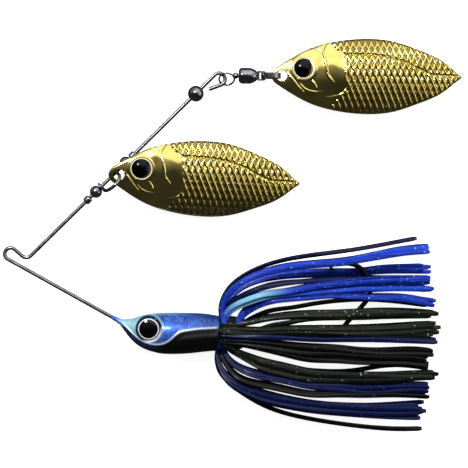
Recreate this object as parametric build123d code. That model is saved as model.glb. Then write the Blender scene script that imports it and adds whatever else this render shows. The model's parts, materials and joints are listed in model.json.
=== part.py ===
from build123d import *
import os
from math import asin, cos, degrees, pi, radians, sin, sqrt

# Double-blade spinnerbait lying on its side on a table, in millimetres.
# +X runs from the line tie to the tail of the skirt, +Y from the hook to the blade arm, and
# +Z up from the table.  The bent wire, the hook and the swivel share one level, the lure plane.

# ---- driving sizes: wire frame ----
WIRE_D = 1.0
LOWER_ARM_LENGTH = 32.1
LOWER_ARM_ANGLE = 150.9      # heading of the arm as it leaves the nose, from +X
TIE_RADIUS = 1.5             # first bend of the line tie
TIE_DIP_ANGLE = 41.0         # how steeply the tie dips before the upper arm
TIE_DIP_LENGTH = 2.5
TIE_DIP_RADIUS = 1.6
ANCHOR_KNEE = 0.45           # where the cast-in end steps over the hook, from nose to hook eye
ANCHOR_BENDS = (0.75, 0.9, 2.0)
ANCHOR_OUTSIDE = 0.12        # share of the lower arm that belongs to the last of those bends
UPPER_ARM_LENGTH = 64.5
UPPER_ARM_ANGLE = 44.5
END_LOOP_INSIDE_R = 1.0
END_LOOP_TURN = 204.0
END_LOOP_TAIL = 3.3

# ---- head ----
HEAD_LENGTH = 24.8
HEAD_HEIGHT = 10.4
HEAD_THICKNESS = 9.6
HEAD_DROP = 2.85             # shank line below the point where the wire enters the nose
NOSE_R = 0.75
SOCKET_R = 3.2
SOCKET_DEPTH = 1.85          # from the head's fullest side down to the flat floor of a socket
EYE_R = 2.6
EYE_DISC_T = 0.3
EYE_DOME_H = 0.75
EYE_BACK = 7.3               # from the nose to the eye
EYE_RISE = 1.2               # eye above the shank line
KEEPER_R = 2.2
KEEPER_LENGTH = 6.2
BARB_R = 2.6
BARB_LENGTH = 1.0
EYE_RIM = 0.35               # straight rim of an eye, as a share of its height

# Share of the head's length, then centre height, half height and half thickness as shares of
# HEAD_HEIGHT and HEAD_THICKNESS; the centre height is measured up from the shank line.
HEAD_SECTIONS = [
    (0.05, 0.18, 0.155, 0.135),
    (0.12, 0.09, 0.265, 0.22),
    (0.20, 0.04, 0.37, 0.31),
    (0.30, 0.015, 0.45, 0.40),
    (0.42, -0.005, 0.49, 0.47),
    (0.56, -0.005, 0.50, 0.50),
    (0.72, 0.0, 0.485, 0.495),
    (0.87, 0.01, 0.455, 0.465),
    (1.0, 0.0, 0.415, 0.425),
]

# ---- hook ----
HOOK_D = 1.2
HOOK_EYE_BACK = 5.6          # from the nose to the hook's eye, cast inside the head
HOOK_EYE_WIRE_R = 0.5
HOOK_GAP = 17.4
HOOK_SHANK = 47.4            # eye to the heel of the bend
HOOK_HEEL_R = 3.2            # first, tight turn of the bend
HOOK_BACK_ANGLE = 48.0       # slope of the straight back of the bend
HOOK_BEND_R = 6.0            # round turn under the point
HOOK_POINT_LEG = 6.0
HOOK_POINT_TAPER = 4.0
HOOK_POINT_TURN = 5.0
HOOK_TIP_SHARE = 1 / 6       # diameter left at the very point
HOOK_BARB_H = 0.9
HOOK_BARB_T = 0.4
HOOK_BARB_OUTLINE = (1.2, -0.45, -1.62)      # tip, heel and spur of the barb, along the point

# ---- blades ----
BLADE_LENGTH = 48.35
BLADE_WIDTH = 18.6
BLADE_T = 0.5
BLADE_DEPTH = 2.4            # how deeply the blade is dished across its width
BLADE_BOW_RADIUS = 116.0     # lengthwise radius of the dish
HOLE_R = 1.35
HOLE_EDGE = 2.4              # nose to hole centre
BLADE_EYE_R = 2.45
BLADE_EYE_BACK = 5.4         # hole centre to eye centre, along
BLADE_EYE_RISE = 1.8         # and across
BLADE_EYE_H = 0.75
BLADE_EYE_SUNK = 0.5         # how far the eye's body reaches into the plate before it is cut
NOSE_ARC = 55.0              # half the round nose, measured about the hole
SIDE_START_ANGLE = 35.0      # slope of the side as it leaves the nose
TIP_TANGENT = (0.86, -0.5)
TIP_REST = 0.6               # plate thicknesses between the tip's middle and the table
# Share of the blade's length and of its half width, from the round nose to the tip.
BLADE_OUTLINE = [
    (0.09, 0.44),
    (0.184, 0.70),
    (0.30, 0.887),
    (0.48, 1.0),
    (0.641, 0.925),
    (0.771, 0.70),
    (0.90, 0.385),
]
FRONT_BLADE_TURN = -2.6
FRONT_BLADE_ROLL = 5.0
REAR_BLADE_ROLL = 0.0

# ---- hardware on the upper arm, centres measured along it from the line tie ----
STOP_WALL = 0.5
STOP_LENGTH = 1.7
STOP_ROUND = 0.45            # rounding of a stop's ends, as a share of its radius
LOWER_STOP_AT = 19.9
BEAD_R = 1.55
CLEVIS_SPAN = 5.3
CLEVIS_REACH = 5.6
CLEVIS_WIRE_D = 0.9
CLEVIS_TILT = 64.0           # how far the clevis stands up out of the lure plane
EAR_WALL = 0.6
EAR_T = 0.6
BLADE_SEAT = 2.65            # from the arm to the blade's hole, along the clevis leg
BEAD_TO_STOP = 0.5
CLEVIS_PLAY = 1.4
LOOP_BEAD_R = 2.0
LOOP_BEAD_AT = 57.8
RUNNING = 0.06               # radial clearance of what turns on a wire
GAP = 0.1                    # end clearance between pieces that turn against each other

# ---- swivel and split ring ----
RING_WIRE_D = 0.5
RING_R = 1.9
RING_TILT = 45.0
SWIVEL_RISE = 0.85           # barrel axis above the ring's centre
NECK_BEAD_R = 0.8
NECK_BACK = 2.25             # ring centre to neck bead
BARREL_D = 4.0
BARREL_LENGTH = 4.8
BARREL_TAIL_D = 1.9
BARREL_WALL = 0.55
# Share of the barrel's length and of its radius, from the front face to the tail.
BARREL_PROFILE = [(0.0, 0.55), (0.06, 0.86), (0.22, 1.0), (0.58, 1.0), (0.84, 0.78)]
STEM_D = 0.9
STEM_HEAD_T = 0.5
BALL_R = 0.3
BALL_COUNT = 7
BALL_PLAY = 0.04
TAIL_WIRE_D = 0.5
TAIL_REACH = 1.9             # barrel end to the centre of the tail eye's cross bar
TAIL_BEND_R = 0.45
TAIL_PLUG = 1.2
TAIL_PLUG_R = 0.7
SPLIT_R = 2.5
SPLIT_RADIAL = 0.6
SPLIT_T = 1.3
SPLIT_GROOVE = 0.12
SPLIT_GROOVE_DEPTH = 0.18
HOLE_SLACK = 0.55            # ring wire centre to hole centre

# ---- skirt ----
BAND_T = 1.0
BAND_LENGTH = 2.6
COLLAR_T = 0.85
SKIRT_LENGTH = 50.0          # from the head's rear face to the tips of the strands
SKIRT_PAST_HOOK = 6.0        # how far the fan's tips stand outside the hook's point
SKIRT_LAYER_T = 2.8          # height of the strands that lie on the table
HOOK_CLEAR = 2.1             # free height above and below the lure plane for the hook
COLLAR_PAST_BARB = 0.2       # where the collar ends, as a share of the barb's length
TUFT_ROOT_R = 0.42
TUFT_TIP = 2.4               # unevenness of the tips
TUFT_ARCH = 1.9              # how much thicker the fan is over the hook than at its sides
TUFT_FREE = 0.09             # share of the length over which a tuft leaves the collar's circle
TUFT_WIDTH = 0.14            # half width of a tuft, as a share of the spread
SIDE_TUFT_WIDTH = 0.035
SIDE_TUFT_T = 2.0
# Each tuft: colour group, angle round the collar, share of the spread at the tips, and layer,
# where 1 lies above the hook, -1 on the table and 0 beside it.
FAN = [
    ("blue", 30, 0.70, 1),
    ("blue", 60, 0.33, 1),
    ("olive", 90, 0.0, 1),
    ("black", 120, -0.36, 1),
    ("black", 150, -0.70, 1),
    ("black", 180, -0.955, 0),
    ("black", 210, -0.70, -1),
    ("black", 240, -0.36, -1),
    ("olive", 270, 0.0, -1),
    ("blue", 300, 0.33, -1),
    ("blue", 330, 0.70, -1),
    ("blue", 0, 0.955, 0),
]
# How the fan opens: share of the skirt's length behind the collar, share of the spread.
OPENING = [
    (0.0, 0.0),
    (0.035, 0.36),
    (TUFT_FREE, 0.60),
    (0.18, 0.755),
    (0.32, 0.83),
    (0.52, 0.89),
    (0.76, 0.95),
    (1.0, 1.0),
]

# ---- places that follow from the sizes ----
PLANE_Z = HEAD_THICKNESS / 2
WIRE_R = WIRE_D / 2
END_LOOP_RADIUS = END_LOOP_INSIDE_R + WIRE_R
SOCKET_FLOOR = HEAD_THICKNESS / 2 - SOCKET_DEPTH
HOOK_EYE_R = WIRE_R + HOOK_EYE_WIRE_R + GAP
EAR_R = WIRE_R + RUNNING + EAR_WALL
STOP_R = WIRE_R + STOP_WALL
SKIRT_SPREAD = HOOK_GAP + SKIRT_PAST_HOOK
NOSE = Vector(-28.5, -21.9)
SHANK_Y = NOSE.Y - HEAD_DROP
HEAD_REAR_X = NOSE.X + HEAD_LENGTH
LOWER_DIR = Vector(cos(radians(LOWER_ARM_ANGLE)), sin(radians(LOWER_ARM_ANGLE)))
ARM_DIR = Vector(cos(radians(UPPER_ARM_ANGLE)), sin(radians(UPPER_ARM_ANGLE)))
ARM_SIDE = Vector(ARM_DIR.Y, -ARM_DIR.X)     # across the arm, towards the blades


def level(x, y, z=0.0):
    """Point at a height above the lure plane."""
    return Vector(x, y, PLANE_Z + z)


def turned(point, heading, radius, turn):
    """Where an arc that starts at a point ends, its turn positive to the left."""
    side = 1 if turn > 0 else -1
    h0, h1 = radians(heading), radians(heading + turn)
    return Vector(
        point.X + side * radius * (sin(h1) - sin(h0)),
        point.Y - side * radius * (cos(h1) - cos(h0)),
    )


def ahead(point, heading, distance):
    """Where a straight run ends."""
    h = radians(heading)
    return Vector(point.X + distance * cos(h), point.Y + distance * sin(h))


def tube(path, diameter):
    """Round wire along a path."""
    return sweep(Plane(path @ 0, z_dir=path % 0) * Circle(diameter / 2), path=path)


def arm_point(along, across=0.0, up=0.0):
    """Point of the upper arm, with an offset across it and above the lure plane."""
    p = ARM_START + ARM_DIR * along + ARM_SIDE * across
    return level(p.X, p.Y, up)


# Headings along the wire from the nose: up the lower arm, round the line tie, down its dip,
# up the upper arm and round the end loop.
tie_start = ahead(NOSE, LOWER_ARM_ANGLE, LOWER_ARM_LENGTH)
tie_turn = -(LOWER_ARM_ANGLE + TIE_DIP_ANGLE)
dip_start = turned(tie_start, LOWER_ARM_ANGLE, TIE_RADIUS, tie_turn)
dip_end = ahead(dip_start, -TIE_DIP_ANGLE, TIE_DIP_LENGTH)
ARM_START = turned(dip_end, -TIE_DIP_ANGLE, TIE_DIP_RADIUS, TIE_DIP_ANGLE + UPPER_ARM_ANGLE)
arm_end = ahead(ARM_START, UPPER_ARM_ANGLE, UPPER_ARM_LENGTH)
LOOP_CENTRE = arm_end + ARM_SIDE * END_LOOP_RADIUS
TIE_CENTRE = tie_start + Vector(LOWER_DIR.Y, -LOWER_DIR.X) * TIE_RADIUS

# Stack of hardware up the arm.
LOWER_BEAD_AT = LOWER_STOP_AT + STOP_LENGTH / 2 + BEAD_TO_STOP + BEAD_R
LOWER_EAR_AT = LOWER_BEAD_AT + BEAD_R + EAR_T / 2
UPPER_EAR_AT = LOWER_EAR_AT + CLEVIS_SPAN
UPPER_BEAD_AT = UPPER_EAR_AT + EAR_T / 2 + CLEVIS_PLAY + BEAD_R
UPPER_STOP_AT = UPPER_BEAD_AT + BEAD_R + GAP + STOP_LENGTH / 2
LEG_OUT = ARM_SIDE * cos(radians(CLEVIS_TILT)) + Vector(0, 0, sin(radians(CLEVIS_TILT)))

# Chain at the end of the arm.
LOOP_WIRE = level(LOOP_CENTRE.X + END_LOOP_RADIUS, LOOP_CENTRE.Y)
RING_CENTRE = LOOP_WIRE + Vector(RING_R - END_LOOP_RADIUS, 0, 0)
AXIS_Y = RING_CENTRE.Y + SWIVEL_RISE
NECK_X = RING_CENTRE.X + NECK_BACK
BARREL_X = NECK_X + NECK_BEAD_R - GAP
BARREL_END_X = BARREL_X + BARREL_LENGTH
TAIL_BAR = level(BARREL_END_X + TAIL_REACH, AXIS_Y)
TAIL_HALF = SPLIT_T / 2 + GAP + TAIL_WIRE_D / 2
SPLIT_MID_R = SPLIT_R - SPLIT_RADIAL / 2
SPLIT_CENTRE = TAIL_BAR + Vector(SPLIT_R - SPLIT_RADIAL - TAIL_WIRE_D, 0, 0)
REAR_PIVOT = SPLIT_CENTRE + Vector(SPLIT_MID_R, 0, 0)
REAR_HOLE = REAR_PIVOT + Vector(HOLE_SLACK, 0, 0)
FRONT_HOLE = arm_point(UPPER_EAR_AT) + LEG_OUT * BLADE_SEAT


# ---- wire frame, hook and head ----
def make_wire_frame():
    """One bent wire: anchor in the hook's eye, lower arm, line tie, upper arm and end loop."""
    eye = level(NOSE.X + HOOK_EYE_BACK, SHANK_Y)
    rise = WIRE_R + HOOK_D / 2 + GAP / 2
    outside = ahead(NOSE, LOWER_ARM_ANGLE, LOWER_ARM_LENGTH * ANCHOR_OUTSIDE)
    anchor = FilletPolyline(
        eye - Vector(0, 0, HOOK_EYE_R),
        eye + Vector(0, 0, rise),
        level(NOSE.X + HOOK_EYE_BACK * ANCHOR_KNEE, (NOSE.Y + SHANK_Y) / 2, rise),
        level(NOSE.X, NOSE.Y),
        level(outside.X, outside.Y),
        radius=ANCHOR_BENDS,
    )
    arm = Line(anchor @ 1, level(tie_start.X, tie_start.Y))
    tie = JernArc(arm @ 1, arm % 1, TIE_RADIUS, tie_turn)
    dip = Line(tie @ 1, level(dip_end.X, dip_end.Y))
    elbow = JernArc(dip @ 1, dip % 1, TIE_DIP_RADIUS, TIE_DIP_ANGLE + UPPER_ARM_ANGLE)
    upper = Line(elbow @ 1, level(arm_end.X, arm_end.Y))
    loop = JernArc(upper @ 1, upper % 1, END_LOOP_RADIUS, -END_LOOP_TURN)
    tail = Line(loop @ 1, (loop @ 1) + (loop % 1) * END_LOOP_TAIL)
    runs = (anchor, arm, tie, dip, elbow, upper, loop, tail)
    return tube(Wire([edge for run in runs for edge in run.edges()]), WIRE_D)


def hook_path():
    """Shank, heel, straight back, round bend and point leg, end to end."""
    back_angle = radians(HOOK_BACK_ANGLE)
    turns_rise = HOOK_HEEL_R * (1 - cos(back_angle)) + HOOK_BEND_R * (1 + cos(back_angle))
    back_length = (HOOK_GAP - turns_rise) / sin(back_angle)
    eye_x = NOSE.X + HOOK_EYE_BACK
    shank = Line(level(eye_x + HOOK_EYE_R, SHANK_Y), level(eye_x + HOOK_SHANK, SHANK_Y))
    heel = JernArc(shank @ 1, shank % 1, HOOK_HEEL_R, HOOK_BACK_ANGLE)
    back = Line(heel @ 1, (heel @ 1) + (heel % 1) * back_length)
    bend = JernArc(back @ 1, back % 1, HOOK_BEND_R, 180 - HOOK_BACK_ANGLE + HOOK_POINT_TURN)
    leg = Line(bend @ 1, (bend @ 1) + (bend % 1) * (HOOK_POINT_LEG - HOOK_POINT_TAPER / 2))
    return Wire([run.edge() for run in (shank, heel, back, bend, leg)])


def make_hook():
    """Hook of round wire: cast-in eye, long shank, sloping bend, and a barbed point turned in."""
    path = hook_path()
    end, ahead_dir = path @ 1, path % 1
    inward = Vector(-ahead_dir.Y, ahead_dir.X, 0)
    tip_plane = Plane(end, z_dir=ahead_dir)
    point_r = HOOK_D / 2 * HOOK_TIP_SHARE
    tip = Cone(HOOK_D / 2, point_r, HOOK_POINT_TAPER)
    tip = tip_plane * Pos(0, 0, HOOK_POINT_TAPER / 2) * tip
    front, heel, spur = (end + ahead_dir * along for along in HOOK_BARB_OUTLINE)
    spur = spur + inward * (HOOK_D / 2 + HOOK_BARB_H)
    barb_outline = make_face(Polyline(front, heel, spur, close=True))
    barb = extrude(barb_outline, amount=HOOK_BARB_T / 2, dir=(0, 0, 1), both=True)
    ring = Plane(level(NOSE.X + HOOK_EYE_BACK, SHANK_Y)) * Torus(HOOK_EYE_R, HOOK_EYE_WIRE_R)
    return tube(path, HOOK_D) + tip + barb + ring


def head_section(share, centre, half_height, half_thickness):
    """Oval across the head at a share of its length."""
    place = level(NOSE.X + share * HEAD_LENGTH, SHANK_Y + centre * HEAD_HEIGHT)
    plane = Plane(place, x_dir=(0, 1, 0), z_dir=(1, 0, 0))
    return plane * Ellipse(half_height * HEAD_HEIGHT, half_thickness * HEAD_THICKNESS)


def eye_axis(side):
    """Plane of an eye socket's floor, facing out of that side of the head."""
    place = level(NOSE.X + EYE_BACK, SHANK_Y + EYE_RISE, side * SOCKET_FLOOR)
    return Plane(place, x_dir=(1, 0, 0), z_dir=(0, 0, side))


def make_head(wire, hook):
    """Cast head with eye sockets and a skirt keeper, cast round the wire and the hook."""
    nose = Plane(level(NOSE.X, NOSE.Y), x_dir=(0, 1, 0), z_dir=(1, 0, 0)) * Circle(NOSE_R)
    head = loft([nose] + [head_section(*row) for row in HEAD_SECTIONS])
    rear = Plane(level(HEAD_REAR_X, SHANK_Y), z_dir=(1, 0, 0))
    keeper = rear * Pos(0, 0, KEEPER_LENGTH / 2) * Cylinder(KEEPER_R, KEEPER_LENGTH)
    barb_at = KEEPER_LENGTH - BARB_LENGTH / 2
    barb = rear * Pos(0, 0, barb_at) * Cone(BARB_R, KEEPER_R, BARB_LENGTH)
    head = head + keeper + barb
    socket = Pos(0, 0, HEAD_THICKNESS / 2) * Cylinder(SOCKET_R, HEAD_THICKNESS)
    for side in (1, -1):
        head = head - eye_axis(side) * socket
    return head - wire - hook


def dome(radius, height, base=0.0):
    """Plano-convex disc standing on its plane: a straight rim and a spherical top."""
    rim = height * EYE_RIM
    crown = height - rim
    ball_r = (radius**2 + crown**2) / (2 * crown)
    profile = make_face(
        Line((0, base), (radius, base))
        + Line((radius, base), (radius, base + rim))
        + RadiusArc((radius, base + rim), (0, base + height), -ball_r)
        + Line((0, base + height), (0, base))
    )
    return revolve(Plane.XZ * profile, Axis.Z)


def make_head_eye(side):
    """Flat printed disc on the floor of a socket."""
    return eye_axis(side) * Pos(0, 0, EYE_DISC_T / 2) * Cylinder(EYE_R, EYE_DISC_T)


def make_head_lens(side):
    """Clear dome on top of the printed disc."""
    return eye_axis(side) * dome(EYE_R, EYE_DOME_H, EYE_DISC_T)


# ---- blades ----
BLADE_CROSS_R = ((BLADE_WIDTH / 2) ** 2 + BLADE_DEPTH**2) / (2 * BLADE_DEPTH)
BLADE_MID = BLADE_LENGTH / 2 - HOLE_EDGE     # hole centre to the middle of the length
TIP_X = BLADE_LENGTH - HOLE_EDGE


def dish(x, y):
    """Height of the dished middle surface below its crown, along and across from the hole."""
    across = BLADE_BOW_RADIUS - BLADE_CROSS_R + sqrt(BLADE_CROSS_R**2 - y**2)
    return sqrt(across**2 - (x - BLADE_MID) ** 2) - BLADE_BOW_RADIUS


def dished_plate(low, high):
    """Ring-shaped slab between two offsets from the middle surface, longer than a blade."""
    section = Circle(BLADE_CROSS_R + high) - Circle(BLADE_CROSS_R + low)
    crop = Pos(0, BLADE_CROSS_R * 0.8) * Rectangle(BLADE_WIDTH * 1.3, BLADE_CROSS_R)
    strip = Pos(0, BLADE_BOW_RADIUS - BLADE_CROSS_R) * (section & crop)
    span = degrees(asin((BLADE_LENGTH / 2 + 4) / BLADE_BOW_RADIUS))
    slab = revolve(Plane.YZ * strip, Axis.Y, revolution_arc=2 * span)
    return Pos(BLADE_MID, 0, -BLADE_BOW_RADIUS) * Rot(0, -span, 0) * slab


def blade_outline():
    """Willow leaf in plan: a round nose about the hole and one smooth side, mirrored."""
    half = BLADE_WIDTH / 2
    shoulder = [(x * BLADE_LENGTH - HOLE_EDGE, y * half) for x, y in BLADE_OUTLINE]
    nose_arc, leave = radians(NOSE_ARC), radians(SIDE_START_ANGLE)
    start = (-HOLE_EDGE * cos(nose_arc), HOLE_EDGE * sin(nose_arc))
    tangents = ((cos(leave), sin(leave)), TIP_TANGENT)
    upper = Spline(start, *shoulder, (TIP_X, 0), tangents=tangents)
    nose = ThreePointArc(start, (-HOLE_EDGE, 0), (start[0], -start[1]))
    return make_face([upper.edge(), mirror(upper, Plane.XZ).edge(), nose.edge()])


def blade_place(hole, turn, roll):
    """Location of a blade whose tip rests on the table: turned in plan, rolled, tip down."""
    fall = hole.Z - dish(0, 0) + dish(TIP_X, 0) - BLADE_T * TIP_REST
    pitch = degrees(asin(fall / TIP_X))
    return Pos(*hole) * Rot(0, 0, turn) * Rot(0, pitch, 0) * Rot(roll, 0, 0) * Pos(0, 0, -dish(0, 0))


def make_blade(place):
    """Dished willow-leaf plate with a round hole in its nose."""
    prism = extrude(blade_outline(), amount=BLADE_DEPTH * 4, both=True)
    plate = dished_plate(-BLADE_T / 2, BLADE_T / 2) & prism
    plate = plate - Cylinder(HOLE_R, BLADE_DEPTH * 8)
    return place * plate


def make_blade_eye(place):
    """Domed eye stuck on the convex face of a blade."""
    seat = dish(BLADE_EYE_BACK, BLADE_EYE_RISE) + BLADE_T / 2
    body = dome(BLADE_EYE_R, BLADE_EYE_H + BLADE_EYE_SUNK)
    body = Pos(BLADE_EYE_BACK, BLADE_EYE_RISE, seat - BLADE_EYE_SUNK) * body
    return place * (body - dished_plate(-BLADE_DEPTH * 2, BLADE_T / 2))


# ---- hardware on the upper arm ----
def arm_plane(along):
    """Plane across the arm, facing up it, its x axis across the arm in the lure plane."""
    side = Vector(ARM_SIDE.X, ARM_SIDE.Y, 0)
    return Plane(arm_point(along), x_dir=side, z_dir=Vector(ARM_DIR.X, ARM_DIR.Y, 0))


def make_bead(along, radius):
    """Round bead that turns on the arm."""
    bead = Sphere(radius) - Cylinder(WIRE_R + RUNNING, radius * 3)
    return arm_plane(along) * bead


def make_stop(along):
    """Small barrel crimped on the arm."""
    barrel = fillet(Cylinder(STOP_R, STOP_LENGTH).edges(), STOP_R * STOP_ROUND)
    return arm_plane(along) * (barrel - Cylinder(WIRE_R, STOP_LENGTH * 2))


def make_clevis():
    """Stirrup of round wire between two eyed ears that turn on the arm."""
    low, high = arm_point(LOWER_EAR_AT), arm_point(UPPER_EAR_AT)
    bow_r = CLEVIS_SPAN / 2
    leg = CLEVIS_REACH - bow_r
    root = EAR_R - CLEVIS_WIRE_D / 4
    along = Vector(ARM_DIR.X, ARM_DIR.Y, 0)
    left = Line(low + LEG_OUT * root, low + LEG_OUT * leg)
    bow = ThreePointArc(left @ 1, (low + high) * 0.5 + LEG_OUT * CLEVIS_REACH, high + LEG_OUT * leg)
    right = Line(bow @ 1, high + LEG_OUT * root)
    stirrup = tube(Wire([left.edge(), bow.edge(), right.edge()]), CLEVIS_WIRE_D)
    for along_arm in (LOWER_EAR_AT, UPPER_EAR_AT):
        plane = arm_plane(along_arm)
        stirrup = stirrup + plane * Cylinder(EAR_R, EAR_T)
    return stirrup - arm_plane(LOWER_EAR_AT) * Cylinder(WIRE_R + RUNNING, CLEVIS_SPAN * 4)


# ---- swivel and split ring ----
def along_axis(x):
    """Plane across the swivel's axis, facing the tail."""
    return Plane(level(x, AXIS_Y), x_dir=(0, 1, 0), z_dir=(1, 0, 0))


BARREL_MOUTH_R = STEM_D / 2 + RUNNING
CHAMBER_X = BARREL_X + BARREL_WALL
BALL_GAP = 2 * BALL_R + BALL_PLAY
STEM_HEAD_X = CHAMBER_X + BALL_GAP
STEM_HEAD_R = BARREL_D / 2 - BARREL_WALL - RUNNING
CHAMBER_LENGTH = BALL_GAP + STEM_HEAD_T + GAP


def make_swivel_ring():
    """Ring, neck bead and stem in one, with the stem's head inside the barrel."""
    ring = Pos(*RING_CENTRE) * Rot(RING_TILT, 0, 0) * Torus(RING_R, RING_WIRE_D / 2)
    neck = Pos(*level(NECK_X, AXIS_Y)) * Sphere(NECK_BEAD_R)
    behind = Pos(0, 0, BARREL_D / 2) * Box(BARREL_D, BARREL_D, BARREL_D)
    neck = neck - along_axis(BARREL_X - GAP) * behind
    stem_length = STEM_HEAD_X - NECK_X
    stem = along_axis(NECK_X) * Pos(0, 0, stem_length / 2) * Cylinder(STEM_D / 2, stem_length)
    head = along_axis(STEM_HEAD_X) * Pos(0, 0, STEM_HEAD_T / 2) * Cylinder(STEM_HEAD_R, STEM_HEAD_T)
    return ring + neck + stem + head


def make_swivel_barrel():
    """Barrel turned from rod: rounded front, full middle, tapered tail, chamber inside."""
    half = BARREL_D / 2
    face, front, full, waist, taper = [(x * BARREL_LENGTH, y * half) for x, y in BARREL_PROFILE]
    tail = (BARREL_LENGTH, BARREL_TAIL_D / 2)
    outer = make_face(
        Line((0, 0), face)
        + ThreePointArc(face, front, full)
        + Line(full, waist)
        + ThreePointArc(waist, taper, tail)
        + Polyline(tail, (BARREL_LENGTH, 0), (0, 0))
    )
    body = Pos(*level(BARREL_X, AXIS_Y)) * revolve(outer, Axis.X)
    mouth = along_axis(BARREL_X) * Cylinder(BARREL_MOUTH_R, BARREL_WALL * 4)
    chamber = along_axis(CHAMBER_X) * Pos(0, 0, CHAMBER_LENGTH / 2)
    chamber = chamber * Cylinder(BARREL_D / 2 - BARREL_WALL, CHAMBER_LENGTH)
    return body - mouth - chamber - make_tail_plug()


def make_tail_plug():
    """Plug that fills the bore in the barrel's tail."""
    return along_axis(BARREL_END_X) * Pos(0, 0, -TAIL_PLUG / 2) * Cylinder(TAIL_PLUG_R, TAIL_PLUG)


def make_swivel_tail():
    """Wire eye set in the barrel's tail: two legs and a cross bar, on a plug."""
    foot_x = BARREL_END_X + TAIL_WIRE_D / 2
    foot = Box(TAIL_WIRE_D, 2 * TAIL_HALF + TAIL_WIRE_D, TAIL_WIRE_D)
    path = FilletPolyline(
        level(foot_x, AXIS_Y - TAIL_HALF),
        level(TAIL_BAR.X, AXIS_Y - TAIL_HALF),
        level(TAIL_BAR.X, AXIS_Y + TAIL_HALF),
        level(foot_x, AXIS_Y + TAIL_HALF),
        radius=TAIL_BEND_R,
    )
    eye = tube(path.wire(), TAIL_WIRE_D)
    return make_tail_plug() + Pos(*level(foot_x, AXIS_Y)) * foot + eye


def make_swivel_balls():
    """Ring of bearing balls between the barrel's front wall and the stem's head."""
    pitch_r = (STEM_D / 2 + BARREL_D / 2 - BARREL_WALL) / 2
    x = CHAMBER_X + BALL_GAP / 2
    balls = []
    for i in range(BALL_COUNT):
        a = 2 * pi * i / BALL_COUNT
        place = level(x, AXIS_Y + pitch_r * cos(a), pitch_r * sin(a))
        balls.append(Pos(*place) * Sphere(BALL_R))
    return Compound(children=balls)


def make_split_ring():
    """Two flat coils of spring wire side by side, in the plane across the blade."""
    ring = Cylinder(SPLIT_R, SPLIT_T) - Cylinder(SPLIT_R - SPLIT_RADIAL, SPLIT_T)
    groove = Cylinder(SPLIT_R, SPLIT_GROOVE) - Cylinder(SPLIT_R - SPLIT_GROOVE_DEPTH, SPLIT_GROOVE)
    return Pos(*SPLIT_CENTRE) * Rot(90, 0, 0) * (ring - groove)


# ---- skirt ----
BAND_X = HEAD_REAR_X + (KEEPER_LENGTH - BARB_LENGTH) / 2 - BAND_LENGTH / 2
COLLAR_R = KEEPER_R + BAND_T
COLLAR_LENGTH = KEEPER_LENGTH - BARB_LENGTH * (1 - COLLAR_PAST_BARB)
TUFT_START_X = HEAD_REAR_X + COLLAR_LENGTH
TUFT_RING_R = COLLAR_R + COLLAR_T / 2


def tube_at(x, length, inner, outer):
    """Ring about the shank line."""
    plane = Plane(level(x, SHANK_Y), z_dir=(1, 0, 0)) * Pos(0, 0, length / 2)
    return plane * (Cylinder(outer, length) - Cylinder(inner, length))


def tuft_section(share, spread, angle, across, layer, length):
    """Oval of one tuft in a plane across the skirt."""
    blend = min(1.0, share / TUFT_FREE)
    x = TUFT_START_X + share * length
    y_ring = TUFT_RING_R * cos(radians(angle))
    z_ring = TUFT_RING_R * sin(radians(angle))
    arch = sqrt(1 - across**2) * sin(pi * (0.25 + 0.6 * share))
    high = SKIRT_LAYER_T / 2 + TUFT_ARCH * arch
    if layer == 1:
        z_tail, thick = HOOK_CLEAR + high, high
    elif layer == -1:
        thick = SKIRT_LAYER_T / 2
        z_tail = thick - PLANE_Z
    else:
        z_tail, thick = 0.0, SIDE_TUFT_T / 2
    wide = SKIRT_SPREAD * spread * (TUFT_WIDTH if layer else SIDE_TUFT_WIDTH) + GAP
    y = SHANK_Y + y_ring * (1 - blend) + across * SKIRT_SPREAD * spread * blend
    z = z_ring * (1 - blend) + z_tail * blend
    half_y = TUFT_ROOT_R * (1 - blend) + wide * blend
    half_z = TUFT_ROOT_R * (1 - blend) + thick * blend
    plane = Plane(level(x, y, z), x_dir=(0, 1, 0), z_dir=(1, 0, 0))
    return plane * Ellipse(half_y, half_z)


def make_tuft(index, angle, across, layer):
    """Bundle of strands from the collar out to its tips, as one closed solid."""
    uneven = TUFT_TIP * (0.5 + 0.5 * cos(2.4 * index))
    length = SKIRT_LENGTH - COLLAR_LENGTH - uneven
    sections = [tuft_section(s, w, angle, across, layer, length) for s, w in OPENING]
    return loft(sections, ruled=True)


# ---- every node, in the order it goes on the bench ----
FRONT_PLACE = blade_place(FRONT_HOLE, FRONT_BLADE_TURN, FRONT_BLADE_ROLL)
REAR_PLACE = blade_place(REAR_HOLE, 0.0, REAR_BLADE_ROLL)

nodes = {"wire_frame": make_wire_frame(), "hook": make_hook()}
nodes["head_casting"] = make_head(nodes["wire_frame"], nodes["hook"])
for side_name, side in (("near", 1), ("far", -1)):
    nodes[f"head_eye_{side_name}"] = make_head_eye(side)
    nodes[f"head_lens_{side_name}"] = make_head_lens(side)
nodes["lower_stop"] = make_stop(LOWER_STOP_AT)
nodes["upper_stop"] = make_stop(UPPER_STOP_AT)
nodes["lower_bead"] = make_bead(LOWER_BEAD_AT, BEAD_R)
nodes["upper_bead"] = make_bead(UPPER_BEAD_AT, BEAD_R)
nodes["loop_bead"] = make_bead(LOOP_BEAD_AT, LOOP_BEAD_R)
nodes["clevis"] = make_clevis()
nodes["front_blade"] = make_blade(FRONT_PLACE)
nodes["front_blade_eye"] = make_blade_eye(FRONT_PLACE)
nodes["swivel_ring"] = make_swivel_ring()
nodes["swivel_barrel"] = make_swivel_barrel()
nodes["swivel_balls"] = make_swivel_balls()
nodes["swivel_tail"] = make_swivel_tail()
nodes["split_ring"] = make_split_ring()
nodes["rear_blade"] = make_blade(REAR_PLACE)
nodes["rear_blade_eye"] = make_blade_eye(REAR_PLACE)
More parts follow.
